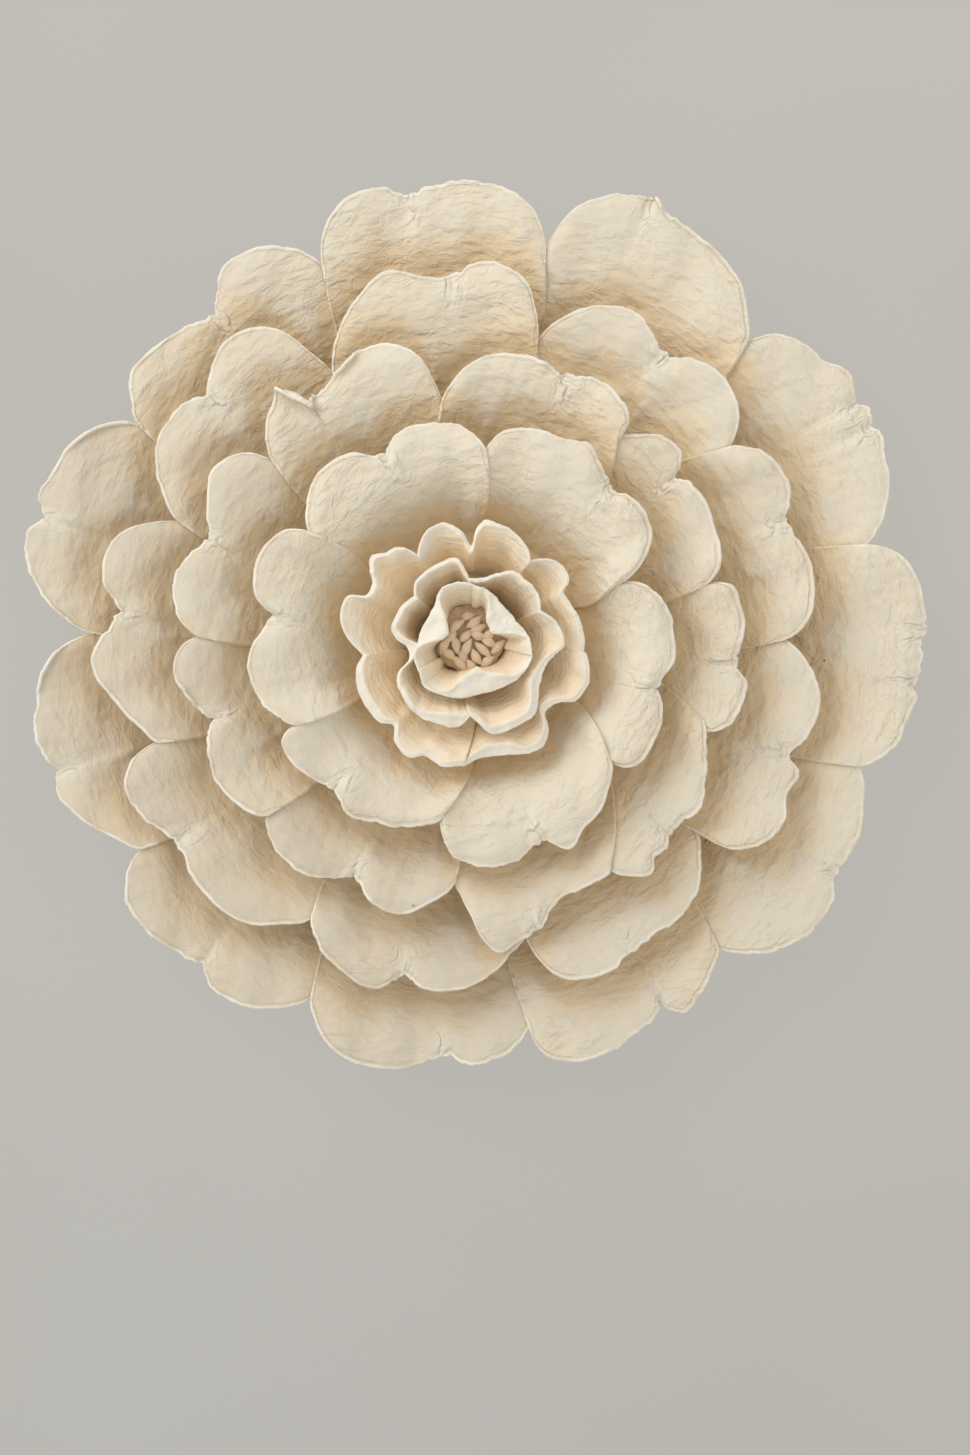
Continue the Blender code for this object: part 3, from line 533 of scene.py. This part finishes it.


# Shared paper surface: mottled tone with painted shade, browner where light doesn't reach and
# in the dips of its relief, painted highlights, pale torn edges, pinholes, and the dented,
# creased relief of hand-pressed pulp.
# Dents follow the sheet's own map: u runs round the ring, v away from the axis.
def paperGroup():
    group = bpy.data.node_groups.new("paperSurface", "ShaderNodeTree")
    face = group.interface
    for key in ("pale", "mottleAndShadeColour"):
        face.new_socket(key, in_out="INPUT", socket_type="NodeSocketColor")
    for key in ("shadeDepth", "rim", "rollHighlight", "crumple", "sideShade", "hem", "scale", "relief"):
        face.new_socket(key, in_out="INPUT", socket_type="NodeSocketFloat")
    for key, kind in (("colour", "Color"), ("rough", "Float"), ("normal", "Vector")):
        face.new_socket(key, in_out="OUTPUT", socket_type="NodeSocket" + kind)
    given = group.nodes.new("NodeGroupInput").outputs
    out = group.nodes.new("NodeGroupOutput")
    where = addNode(group, "TexCoord").outputs
    place = where["Object"]

    def calc(kind, a, b=0.0):
        return addNode(group, "Math", {0: a, 1: b}, operation=kind).outputs[0]

    def times(a, b):
        return calc("MULTIPLY", a, b)

    def plus(a, b):
        return calc("ADD", a, b)

    # thin lines where a noise passes its middle
    def middleOf(value):
        return calc("ABSOLUTE", calc("SUBTRACT", value, 0.5))

    def stretched(x, y):
        feeds = {"Scale": (x, y, 1.0), "Vector": where["UV"]}
        return addNode(group, "Mapping", feeds).outputs["Vector"]

    def noise(vector, scale, detail, rough, distort=0.0):
        feeds = {"Vector": vector, "Scale": times(given["scale"], scale), "Detail": detail,
                 "Roughness": rough, "Distortion": distort}
        kind = "3D" if vector == place else "2D"
        return addNode(group, "TexNoise", feeds, noise_dimensions=kind).outputs["Fac"]

    # moves a map about by up to an amount in metres, in waves of 1/scale metres
    def warped(vector, scale, amount):
        cloud = addNode(group, "TexNoise", {"Vector": vector, "Scale": scale, "Detail": 1.0},
                        noise_dimensions="2D")
        feeds = {0: cloud.outputs["Color"], 1: (amount, amount, 0.0), 2: vector}
        return addNode(group, "VectorMath", feeds, operation="MULTIPLY_ADD").outputs["Vector"]

    # shallow hollows side by side, with soft ridges between them
    def pressed(vector, scale):
        feeds = {"Vector": vector, "Scale": times(given["scale"], scale), "Smoothness": 0.35}
        return addNode(group, "TexVoronoi", feeds, feature="SMOOTH_F1",
                       voronoi_dimensions="2D").outputs["Distance"]

    def ramp(value, low, high, a=0.0, b=1.0):
        feeds = {"Value": value, "From Min": low, "From Max": high, "To Min": a, "To Max": b}
        return addNode(group, "MapRange", feeds, interpolation_type="SMOOTHSTEP").outputs["Result"]

    def mix(share, a, b):
        return addNode(group, "Mix", {0: share, 6: a, 7: b}, data_type="RGBA").outputs[2]

    blotch = noise(place, pulp["blotch"], 3.0, 0.5, 0.4)
    lumps = noise(stretched(1.0, 1.35), pulp["lumps"], 2.0, 0.45, 0.5)
    dents = noise(stretched(1.0, 1.5), pulp["dents"], 2.0, 0.5, 0.5)
    creases = noise(stretched(1.0, 1.5), pulp["creases"], 2.0, 0.5, 1.6)
    grain = noise(place, pulp["grain"], 2.0, 0.5)
    hollows = pressed(warped(stretched(1.0, 1.4), pulp["warp"], pulp["warpBy"]), pulp["hollows"])
    wrinkles = middleOf(noise(stretched(1.0, 1.3), pulp["wrinkles"], 2.0, 0.5, 0.6))
    folds = middleOf(noise(stretched(1.9, 0.8), pulp["folds"], 1.0, 0.4, 0.7))
    line = times(ramp(middleOf(creases), 0.0, 0.03, 1.0, 0.0), ramp(blotch, 0.42, 0.62))

    # pinholes in a few of the cells
    pits = addNode(group, "TexVoronoi", {"Vector": place, "Scale": pulp["pits"]}).outputs
    pick = addNode(group, "SeparateColor", {"Color": pits["Color"]}).outputs[0]
    pinhole = times(ramp(pits["Distance"], 0.03, 0.055, 1.0, 0.0), ramp(pick, 0.955, 0.96))

    # painted shade: browner where shadeDepth puts shade, in the dips of the dents, hollows,
    # wrinkles and lumps, and along the crease lines; the blotches are random tone
    mottleAndShadeMask = plus(given["shadeDepth"], ramp(blotch, 0.30, 0.75, -0.08, 0.14))
    mottleAndShadeMask = plus(mottleAndShadeMask, ramp(dents, 0.35, 0.65, 0.05, -0.05))
    mottleAndShadeMask = plus(mottleAndShadeMask, ramp(hollows, 0.15, 0.60, 0.11, -0.09))
    mottleAndShadeMask = plus(mottleAndShadeMask, ramp(wrinkles, 0.0, 0.10, 0.12, -0.04))
    tone = mix(mottleAndShadeMask, given["pale"], given["mottleAndShadeColour"])
    tone = mix(ramp(lumps, 0.40, 0.62, 0.10, 0.0), tone, given["mottleAndShadeColour"])
    tone = mix(times(line, 0.12), tone, given["mottleAndShadeColour"])
    # the rim mask falls from 1 at the edge to 0 at 8 mm in: a torn white edge
    # that comes and goes, and a faint pressed line inside it, painted darker as its shade
    rim = plus(given["rim"], ramp(lumps, 0.3, 0.7, -0.05, 0.05))
    pressedLineAndShade = times(ramp(rim, 0.58, 0.68), ramp(rim, 0.70, 0.80, 1.0, 0.0))
    pressedLineAndShade = times(pressedLineAndShade, times(given["hem"], ramp(blotch, 0.42, 0.58)))
    torn = times(ramp(rim, 0.82, 0.92), ramp(lumps, 0.38, 0.58, 0.45, 0.95))
    # painted highlight: rolled lips and turned-up margins, which face the light, are painted whiter
    whiter = calc("MAXIMUM", torn, times(given["rollHighlight"], 0.7))
    whiter = calc("MAXIMUM", whiter, times(given["crumple"], 0.35))
    tone = mix(times(pressedLineAndShade, 0.45), tone, given["mottleAndShadeColour"])
    # painted shade on the lower left side
    tone = mix(given["sideShade"], tone, pulp["sideShadeColour"])
    tone = mix(whiter, tone, pulp["tornWhiteAndHighlight"])
    tone = mix(times(pinhole, 0.75), tone, pulp["pit"])

    # relief: what each mark adds to the height
    worked = ramp(plus(blotch, times(given["shadeDepth"], 0.25)), 0.30, 0.62, 0.13, 0.29)
    relief = plus(times(lumps, 0.55), times(dents, 0.20))
    for mark, strength in ((hollows, worked), (wrinkles, ramp(blotch, 0.35, 0.60, 0.16, 0.44)),
                           (line, -0.05), (grain, 0.012), (pinhole, -0.3), (pressedLineAndShade, -0.16),
                           (times(folds, 1.7), given["crumple"])):
        relief = plus(relief, times(mark, strength))
    # flatter on the side painted in shade
    relief = times(relief, calc("SUBTRACT", 1.25, times(given["sideShade"], 2.2)))
    bump = addNode(group, "Bump", {"Height": relief, "Strength": given["relief"],
                                   "Distance": 0.004})
    feed(out, {"colour": tone, "rough": ramp(dents, 0.2, 0.8, 0.62, 0.82),
               "normal": bump.outputs["Normal"]})
    return group


surfaceGroup = paperGroup()


def paperMaterial(name, pale, mottleAndShadeColour, scale=1.0, relief=0.6, hem=0.0):
    material, tree, shader = newMaterial(name)
    feeds = dict(pale=(*pale, 1), mottleAndShadeColour=(*mottleAndShadeColour, 1), scale=scale, relief=relief, hem=hem)
    for key in ("shadeDepth", "rim", "rollHighlight", "crumple", "sideShade"):
        feeds[key] = addNode(tree, "Attribute", attribute_name=key).outputs["Fac"]
    surface = addNode(tree, "Group", feeds, node_tree=surfaceGroup).outputs
    feed(shader, {"Base Color": surface["colour"], "Roughness": surface["rough"],
                  "Normal": surface["normal"], "Specular IOR Level": 0.25, "Sheen Weight": 0.1,
                  "Sheen Roughness": 0.6})
    return material


# each paper's second colour is its painted shade, which the random mottling also leans towards
petalPaper = paperMaterial("petalPaper", (0.86, 0.80, 0.67), (0.91, 0.735, 0.495), relief=0.85,
                           hem=0.8)
budPaper = paperMaterial("budPaper", (0.93, 0.865, 0.73), (0.99, 0.80, 0.56), scale=1.3, relief=0.5)

# painted shade: petals towards the flower's lower left are painted darker,
# as their faces turn away from the light
shadedSide = dict(angle=205.0, most=0.23)
# where a ring petal's last rows lie, in mm from its rim, and a bud petal's rows
edgeSteps = np.array((0.0, 0.5, 1.1, 1.9, 2.9, 4.2, 6.0, 8.0))
budRows = np.concatenate([np.linspace(0, 0.7, 26)[:-1], np.linspace(0.7, 1, 18)])
lapSteps = np.linspace(0, 1, 6)[1:]
# thickness in mm, and what a bead along the free edges adds to it
sheet = dict(ring=1.8, ringBead=0.7, bud=0.95, budBead=0.25, beadWide=1.8, rimWide=8.0)
# the crumpled patch in a notch, in mm: half its width, where it lies in from
# the rim and half its length
patch = dict(wide=8.0, inwards=6.0, long=13.0)
# how far apart in mm the petals' maps lie, round the ring and outwards
mapStep = dict(around=310.0, outwards=170.0)


# How far in mm each point lies from the petal's free edges: its rim, and a
# side that covers the neighbour.
def edgeDistance(ring, index, v, span, angle, radius):
    away = (1 - v) * np.maximum(span, 12.0)[:, None]
    after = (index + 1) % len(ring["rims"])
    joints = ring["joints"]
    for k, mine in ((index, joints[index]["over"]), (after, not joints[after]["over"])):
        if mine and not ring["upright"]:
            side = np.radians(apart(angle, jointAngle(ring, joints[k], radius))) * radius
            away = np.minimum(away, np.where(v > 0.25, side, 99.0))
    return away


# How crumpled the paper is: a patch in each notch.
def crumpled(ring, angle, radius):
    crumple = np.zeros_like(radius)
    for foldDeg, _, _ in ring["folds"]:
        notch = rimAt(ring, np.array(foldDeg))
        aside = np.radians(turnFrom(angle, foldDeg)) * notch
        inwards = radius - notch + patch["inwards"]
        crumple += np.exp(-(aside / patch["wide"]) ** 2 - (inwards / patch["long"]) ** 2)
    return np.minimum(crumple, 1)


# A petal's columns follow the torn rim, with laps under the neighbours that
# cover its ends. For each: its angle at the rim, the rim's radius there, how
# much of the way to that it goes, and its angle at the tab.
def petalColumns(ring, index, seed):
    petal = ring["rims"][index]
    start, stop = petal["start"], petal["stop"]
    length, angle, radius = rimCurve(ring, petal)
    radius = radius + tornEdge(length, angle, ring, seed) * ring["torn"]
    where = np.linspace(0, length[-1], ring["columns"])
    deg = np.interp(where, length, angle)
    limit = np.interp(where, length, radius)
    end = np.ones_like(deg)
    if not ring["joints"][index]["over"]:
        deg = np.concatenate([start - ring["lap"] * lapSteps[::-1], deg])
        limit = np.concatenate([limit[0] - ring["lapShort"] * lapSteps[::-1], limit])
        end = np.concatenate([1 - 0.3 * lapSteps[::-1], end])
    if ring["joints"][(index + 1) % len(ring["rims"])]["over"]:
        deg = np.concatenate([deg, stop + ring["lap"] * lapSteps])
        limit = np.concatenate([limit, limit[-1] - ring["lapShort"] * lapSteps])
        end = np.concatenate([end, 1 - 0.3 * lapSteps])
    share = (deg - deg[0]) / (deg[-1] - deg[0])
    gapDeg = math.degrees(sideGap / 2 / ring["tabIn"])
    return deg, limit, end, start + gapDeg + share * (stop - start - 2 * gapDeg)


# One petal: its surface with the masks for its paper. The first two rows are
# the tab glued to the disc.
def petalPiece(name, ring, ringNumber, index):
    joint = ring["joints"][index]
    nextJoint = ring["joints"][(index + 1) % len(ring["rims"])]
    start, stop = ring["rims"][index]["start"], ring["rims"][index]["stop"]
    deg, limit, end, tabDeg = petalColumns(ring, index, ringNumber * 7.3 + index * 1.9)
    span = limit - ring["tabOut"]
    if ring["upright"]:
        lip = np.interp(deg % 360.0, *np.array(ring["lips"]).T, period=360.0)
        lip = 1.35 * np.maximum(lip - 1.6, 0.0) + 0.25
        v = budRows[None] * end[:, None]
    else:
        lip = np.zeros_like(deg)
        inner = np.linspace(0, 1, 42)[None, :-1] * (1 - edgeSteps[-1] / span)[:, None]
        v = np.concatenate([inner, 1 - edgeSteps[None, ::-1] / span[:, None]], 1)
    wide = np.ones_like(v)
    x, y, z, radius, angle, turned = petalSurface(
        ring, index, deg[:, None] * wide, limit[:, None] * wide, v, tabDeg[:, None] * wide,
        lip[:, None] * wide)
    edgeAway = edgeDistance(ring, index, v, span, angle, radius)
    bead = smooth(1 - edgeAway / sheet["beadWide"])
    rimZone = np.clip(1 - edgeAway / sheet["rimWide"], 0, 1)
    rimZone *= np.where((1 - v) * span[:, None] < 9.0, 1.0, 0.6)
    if ring["upright"]:
        thick = sheet["bud"] + sheet["budBead"] * bead
        # painted shade: the bud walls are painted browner towards their foot
        shadeDepth = 0.80 * (1 - smooth((v - 0.58) / 0.38))
        # painted highlight on the lip that rolls outwards
        rollHighlight = smooth((v - wallShare(lip)[:, None]) / 0.05) * np.clip(lip[:, None] / 2.5, 0, 1)
    else:
        thick = sheet["ring"] + sheet["ringBead"] * bead
        # painted shade: browner out to shadeDepth mm past the rim of the ring above, which shades
        # this one
        shadeDepth = 1 - smooth((radius - rimAt(ring["above"], angle) - 2.0) / ring["shadeDepth"])
        # painted highlight on a margin that turns up
        rollHighlight = 0.9 * smooth((turned - 0.5) / 0.9)
    across = np.clip((deg - start) / (stop - start), 0, 1)
    lean = joint["lean"] + (nextJoint["lean"] - joint["lean"]) * across
    tabTurn = np.radians(tabDeg + lean)[:, None]
    tabRadii = np.array([ring["tabIn"], ring["tabOut"] - 3.0])

    def withTab(tab, rest):
        return np.concatenate([np.broadcast_to(tab, (len(deg), 2)), rest], 1)

    x = withTab(np.cos(tabTurn) * tabRadii, x)
    y = withTab(-ring["base"], y)
    z = withTab(np.sin(tabTurn) * tabRadii, z)
    radius = withTab(tabRadii, radius)
    angle = withTab(np.degrees(tabTurn), angle)
    # painted shade, strongest on petals towards the lower left and growing outwards from the axis
    facing = math.cos(math.radians((start + stop) / 2 - shadedSide["angle"]))
    sideShade = shadedSide["most"] * smooth((facing + 0.3) / 1.3) * smooth((radius - 60.0) / 130.0)
    masks = dict(shadeDepth=withTab(1, shadeDepth), rim=withTab(0, rimZone), rollHighlight=withTab(0, rollHighlight),
                 crumple=crumpled(ring, angle, radius), sideShade=sideShade)
    # the sheet's map in mm: round the ring and outwards, apart from its neighbours'
    middle = 0.6 * ring["tabOut"] + 0.4 * limit.mean()
    around = np.radians(angle - start) * middle + index * mapStep["around"]
    outwards = (radius - y if ring["upright"] else radius) + ringNumber * mapStep["outwards"]
    data = sheetMesh(f"{name}_paper", x, y, z, withTab(paper, thick), masks, (around, outwards))
    addPiece(f"{name}_skin", data, budPaper if ring["upright"] else petalPaper, ring["slot"], name)


ringNames = list(rings)
for below, above in zip(ringNames, ringNames[1:]):
    rings[below]["above"] = rings[above]
for ring in rings.values():
    settle(ring)
for ringNumber, (name, ring) in enumerate(rings.items()):
    for index in range(len(ring["rims"])):
        petalPiece(f"{name}_{index + 1}", ring, ringNumber, index)
    print(name, "made:", len(ring["rims"]))

# The heart: pointed pods lying on a low mound. Each pod is its place right of
# and above the axis in mm, the way it points in degrees, and its length.
pods = [(-8.0, 8.6, 40, 14), (2.7, 11.7, 38, 13), (5.8, 7.4, 18, 13), (-15.9, -4.2, 60, 14),
        (-9.7, -3.4, 104, 14), (-3.1, 2.0, 50, 11), (-1.3, -6.0, 68, 14), (5.8, 2.4, -12, 12),
        (12.4, 3.7, 40, 10), (12.8, -2.9, -25, 12), (8.8, -7.3, -42, 16), (4.9, -11.8, -58, 13),
        (19.0, -5.1, 44, 14), (-6.2, -16.5, -45, 17), (2.2, -17.6, -48, 12), (-4.6, -11.2, -62, 12),
        (11.9, -14.8, 35, 11), (-12.8, 2.2, 42, 11), (-1.0, 15.0, 12, 11), (-14.0, -10.5, -35, 12)]
heart = dict(top=100.0, fall=0.008, podWidth=3.0, moundTop=95.0, moundRadius=23.0)
podPaper = paperMaterial("podPaper", (0.87, 0.72, 0.55), (0.68, 0.51, 0.35), scale=2.5, relief=0.25)


# Quads between the rings of a tube, and its two closed ends.
def tubeFaces(steps, around, first=0):
    i, j = np.meshgrid(np.arange(steps - 1), np.arange(around), indexing="ij")
    i, j = i.ravel(), j.ravel()
    n = (j + 1) % around
    near, far = i * around, (i + 1) * around
    quads = np.stack([near + j, near + n, far + n, far + j], 1)
    last = first + (steps - 1) * around
    return (quads + first).tolist() + [list(range(k, k + around)) for k in (first, last)]


# A pod is a bent spindle, pointed at both ends: round it and along it, with a
# ridge down its back.
def podMesh():
    allVerts, allFaces = [], []
    around, steps = 16, 15
    a = np.linspace(0, 2 * math.pi, around, endpoint=False)
    s = np.linspace(-1, 1, steps)
    for serial, (px, pz, points, size) in enumerate(pods):
        turn = math.radians(points)
        flatAxis = np.array([math.cos(turn), 0.0, math.sin(turn)])
        lift = heart["top"] - heart["fall"] * (px * px + pz * pz) + 1.1 * math.sin(serial * 2.4)
        middle = np.array([px, -lift, pz])
        fall = 2 * heart["fall"] * (px * flatAxis[0] + pz * flatAxis[2])
        axis = flatAxis + np.array([0.0, fall + 0.12 * math.sin(serial * 3.7), 0.0])
        axis /= np.linalg.norm(axis)
        side = np.cross(axis, (0.0, 1.0, 0.0))
        side /= np.linalg.norm(side)
        up = np.cross(side, axis)
        width = heart["podWidth"] * (1 - np.abs(s) ** 1.7) ** 0.95 * (1 - 0.2 * s) + 0.02
        bend = 1.0 * math.sin(serial * 4.3 + 1) * (1 - s**2)
        sink = 1.0 * s**2
        back = 1 + 0.16 * np.exp(-((np.abs(np.sin(a / 2 - math.pi / 4)) / 0.18) ** 2))
        centres = (middle[None] + axis[None] * (s * size / 2)[:, None] + side[None] * bend[:, None]
                   + np.array([0.0, 1.0, 0.0])[None] * sink[:, None])
        circle = (side[None] * (np.cos(a) * back)[:, None]
                  + up[None] * (np.sin(a) * back * 0.8)[:, None])
        pod = centres[:, None] + circle[None] * width[:, None, None]
        allVerts.append(pod.reshape(-1, 3))
        allFaces += tubeFaces(steps, around, serial * steps * around)
    verts = np.concatenate(allVerts)
    return finishMesh("pods", verts, allFaces, dict(shadeDepth=0.15), verts[:, [0, 2]])


# The mound: a profile of radius and height turned round the axis.
def moundMesh():
    top, wide = heart["moundTop"], heart["moundRadius"]
    profile = np.array([(11.5, 55.5), (11.5, 58.5), (9.0, 61.0), (9.0, 72.0), (14.0, 79.0),
                        (wide - 3, top - 8.0), (wide, top - 5.0), (wide - 1.0, top - 3.0),
                        (wide * 0.7, top - 1.2), (wide * 0.4, top - 0.3), (0.05, top)])
    around = 72
    a = np.linspace(0, 2 * math.pi, around, endpoint=False)
    ripple = 1 + 0.03 * np.sin(13 * a) + 0.02 * np.sin(7 * a + 1)
    x = profile[:, :1] * (np.cos(a) * ripple)[None]
    z = profile[:, :1] * (np.sin(a) * ripple)[None]
    verts = np.stack([x, -profile[:, 1:] + 0 * x, z], -1).reshape(-1, 3)
    faces = tubeFaces(len(profile), around)
    # painted shade: the mound between the pods is painted well towards the shade colour
    return finishMesh("mound", verts, faces, dict(shadeDepth=0.7), verts[:, [0, 2]])


addPiece("pistil_pods", podMesh(), podPaper, "pistil_paper", "pistil")
addPiece("pistil_mound", moundMesh(), podPaper, "pistil_paper", "pistil")
print("heart made")


# Card of the board and discs: grey-brown pulp with fine fibres lying one way.
def cardMaterial(name, colour):
    material, tree, shader = newMaterial(name)
    where = addNode(tree, "TexCoord").outputs["Object"]
    along = addNode(tree, "Mapping", {"Vector": where, "Scale": (1.0, 4.0, 0.35)}).outputs["Vector"]
    noise = addNode(tree, "TexNoise", {"Vector": along, "Scale": 260.0, "Detail": 6.0})
    fibre = noise.outputs["Fac"]
    bump = addNode(tree, "Bump", {"Height": fibre, "Strength": 0.25, "Distance": 0.0005})
    tone = addRamp(tree, fibre, (0.32, [c * 0.78 for c in colour]), (0.68, colour))
    feed(shader, {"Base Color": tone, "Roughness": 0.88, "Normal": bump.outputs["Normal"]})
    return material


# Brushed steel: its streaks are in the gloss.
def steelMaterial(name, colour):
    material, tree, shader = newMaterial(name)
    where = addNode(tree, "TexCoord").outputs["Object"]
    along = addNode(tree, "Mapping", {"Vector": where, "Scale": (8.0, 200.0, 400.0)})
    brush = addNode(tree, "TexNoise", {"Vector": along.outputs["Vector"], "Scale": 8.0})
    rough = addNode(tree, "MapRange", {"Value": brush.outputs["Fac"], "To Min": 0.28,
                                       "To Max": 0.48}).outputs["Result"]
    feed(shader, {"Base Color": (*colour, 1), "Metallic": 1.0, "Roughness": rough})
    return material


card = cardMaterial("card", (0.60, 0.53, 0.42))
steel = steelMaterial("hangerSteel", (0.56, 0.56, 0.57))
for node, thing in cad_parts.items():
    if node.startswith("spacer") or node in ("backing_board", "hanger"):
        thing.data.materials.clear()
        thing.data.materials.append(steel if node == "hanger" else card)
print("board, discs and hanger finished")

# Sizes in metres; the wall darkens by shadeBy from shadeTop down to shadeLow.
wallLook = dict(half=4.0, behind=0.0006, dark=(0.545, 0.53, 0.49), pale=(0.58, 0.57, 0.535),
                shade=(0.455, 0.445, 0.42, 1), shadeBy=0.45, shadeLow=-0.60, shadeTop=0.05,
                glow=0.95, glowShare=0.8)


# The wall behind: pale plaster, faintly mottled. A part of its paleness is its
# own, so that the flower's shadow on it stays as faint as in the photograph.
def wallMaterial():
    material, tree, shader = newMaterial("plaster")
    where = addNode(tree, "TexCoord").outputs["Object"]
    clouds = addNode(tree, "TexNoise", {"Vector": where, "Scale": 1.6, "Detail": 3.0})
    tone = addRamp(tree, clouds.outputs["Fac"], (0.3, wallLook["dark"]), (0.7, wallLook["pale"]))
    height = addNode(tree, "SeparateXYZ", {"Vector": where}).outputs["Z"]
    fall = addNode(tree, "MapRange", {
        "Value": height, "From Min": wallLook["shadeLow"], "From Max": wallLook["shadeTop"],
        "To Min": wallLook["shadeBy"], "To Max": 0.0}).outputs["Result"]
    shade = addNode(tree, "Mix", {0: fall, 6: tone, 7: wallLook["shade"]},
                    data_type="RGBA").outputs[2]
    feed(shader, {"Base Color": shade, "Roughness": 0.9})
    glow = addNode(tree, "Emission", {"Color": shade, "Strength": wallLook["glow"]})
    blend = addNode(tree, "MixShader", {0: wallLook["glowShare"], 1: shader.outputs["BSDF"],
                                        2: glow.outputs["Emission"]})
    # the wall is there for the camera and in gloss, from the front only: the
    # room's light passes it, and a view from behind shows the flower's back
    ray = addNode(tree, "LightPath").outputs
    looked = addNode(tree, "Math", {0: ray["Is Camera Ray"], 1: ray["Is Glossy Ray"]},
                     operation="MAXIMUM").outputs[0]
    behind = addNode(tree, "NewGeometry").outputs["Backfacing"]
    front = addNode(tree, "Math", {0: looked, 1: behind}, operation="SUBTRACT", use_clamp=True)
    clear = addNode(tree, "BsdfTransparent").outputs["BSDF"]
    shown = addNode(tree, "MixShader", {0: front.outputs[0], 1: clear, 2: blend.outputs["Shader"]})
    feed(tree.nodes["Material Output"], {"Surface": shown.outputs["Shader"]})
    return material


def addObject(name, data, place=(0, 0, 0), turn=(0, 0, 0)):
    thing = bpy.data.objects.new(name, data)
    thing.location = place
    thing.rotation_euler = turn
    bpy.context.scene.collection.objects.link(thing)
    return thing


wallData = bpy.data.meshes.new("wall")
corners = [(-1, -1), (1, -1), (1, 1), (-1, 1)]
wallData.from_pydata([(wallLook["half"] * x, wallLook["behind"], wallLook["half"] * z)
                      for x, z in corners], [], [(0, 1, 2, 3)])
wallData.materials.append(wallMaterial())
wall = addObject("wall", wallData)

# Camera square to the wall, framed as the photograph: its size in pixels, the
# pixel of the flower's axis, mm to a pixel at the outer rims, distances in
# metres and the sensor's width in mm.
view = dict(width=970, height=1455, axisX=470, axisY=640, pixel=0.665, away=5.0, rimPlane=0.045,
            sensor=36.0, far=50.0)
camera = bpy.data.cameras.new("camera")
camera.sensor_width = view["sensor"]
camera.sensor_fit = "AUTO"
seenHeight = view["height"] * view["pixel"] * mm
camera.lens = view["sensor"] * (view["away"] - view["rimPlane"]) / seenHeight
camera.clip_end = view["far"]
bpy.context.scene.camera = addObject(
    "camera", camera, ((view["width"] / 2 - view["axisX"]) * view["pixel"] * mm, -view["away"],
                       -(view["height"] / 2 - view["axisY"]) * view["pixel"] * mm),
    (math.radians(90), 0, 0))

# A wide soft window above and to the left, turned to the flower, and a pale room.
window = dict(place=(-5.4, -4.9, 5.0), wide=7.0, watts=350, colour=(1.0, 0.985, 0.96))
room = dict(colour=(1.0, 0.965, 0.905, 1), strength=0.695)
lamp = bpy.data.lights.new("window", "AREA")
lamp.shape = "RECTANGLE"
lamp.size = lamp.size_y = window["wide"]
lamp.energy = window["watts"]
lamp.color = window["colour"]
aim = -np.array(window["place"]) / np.linalg.norm(window["place"])
addObject("window", lamp, window["place"],
          (math.acos(-aim[2]), 0, math.atan2(aim[0], -aim[1]) + math.pi))
world = bpy.data.worlds.new("room")
world.use_nodes = True
world.node_tree.nodes["Background"].inputs["Color"].default_value = room["colour"]
world.node_tree.nodes["Background"].inputs["Strength"].default_value = room["strength"]
bpy.context.scene.world = world
bpy.context.scene.view_settings.view_transform = "Standard"
print("wall, camera and light set")
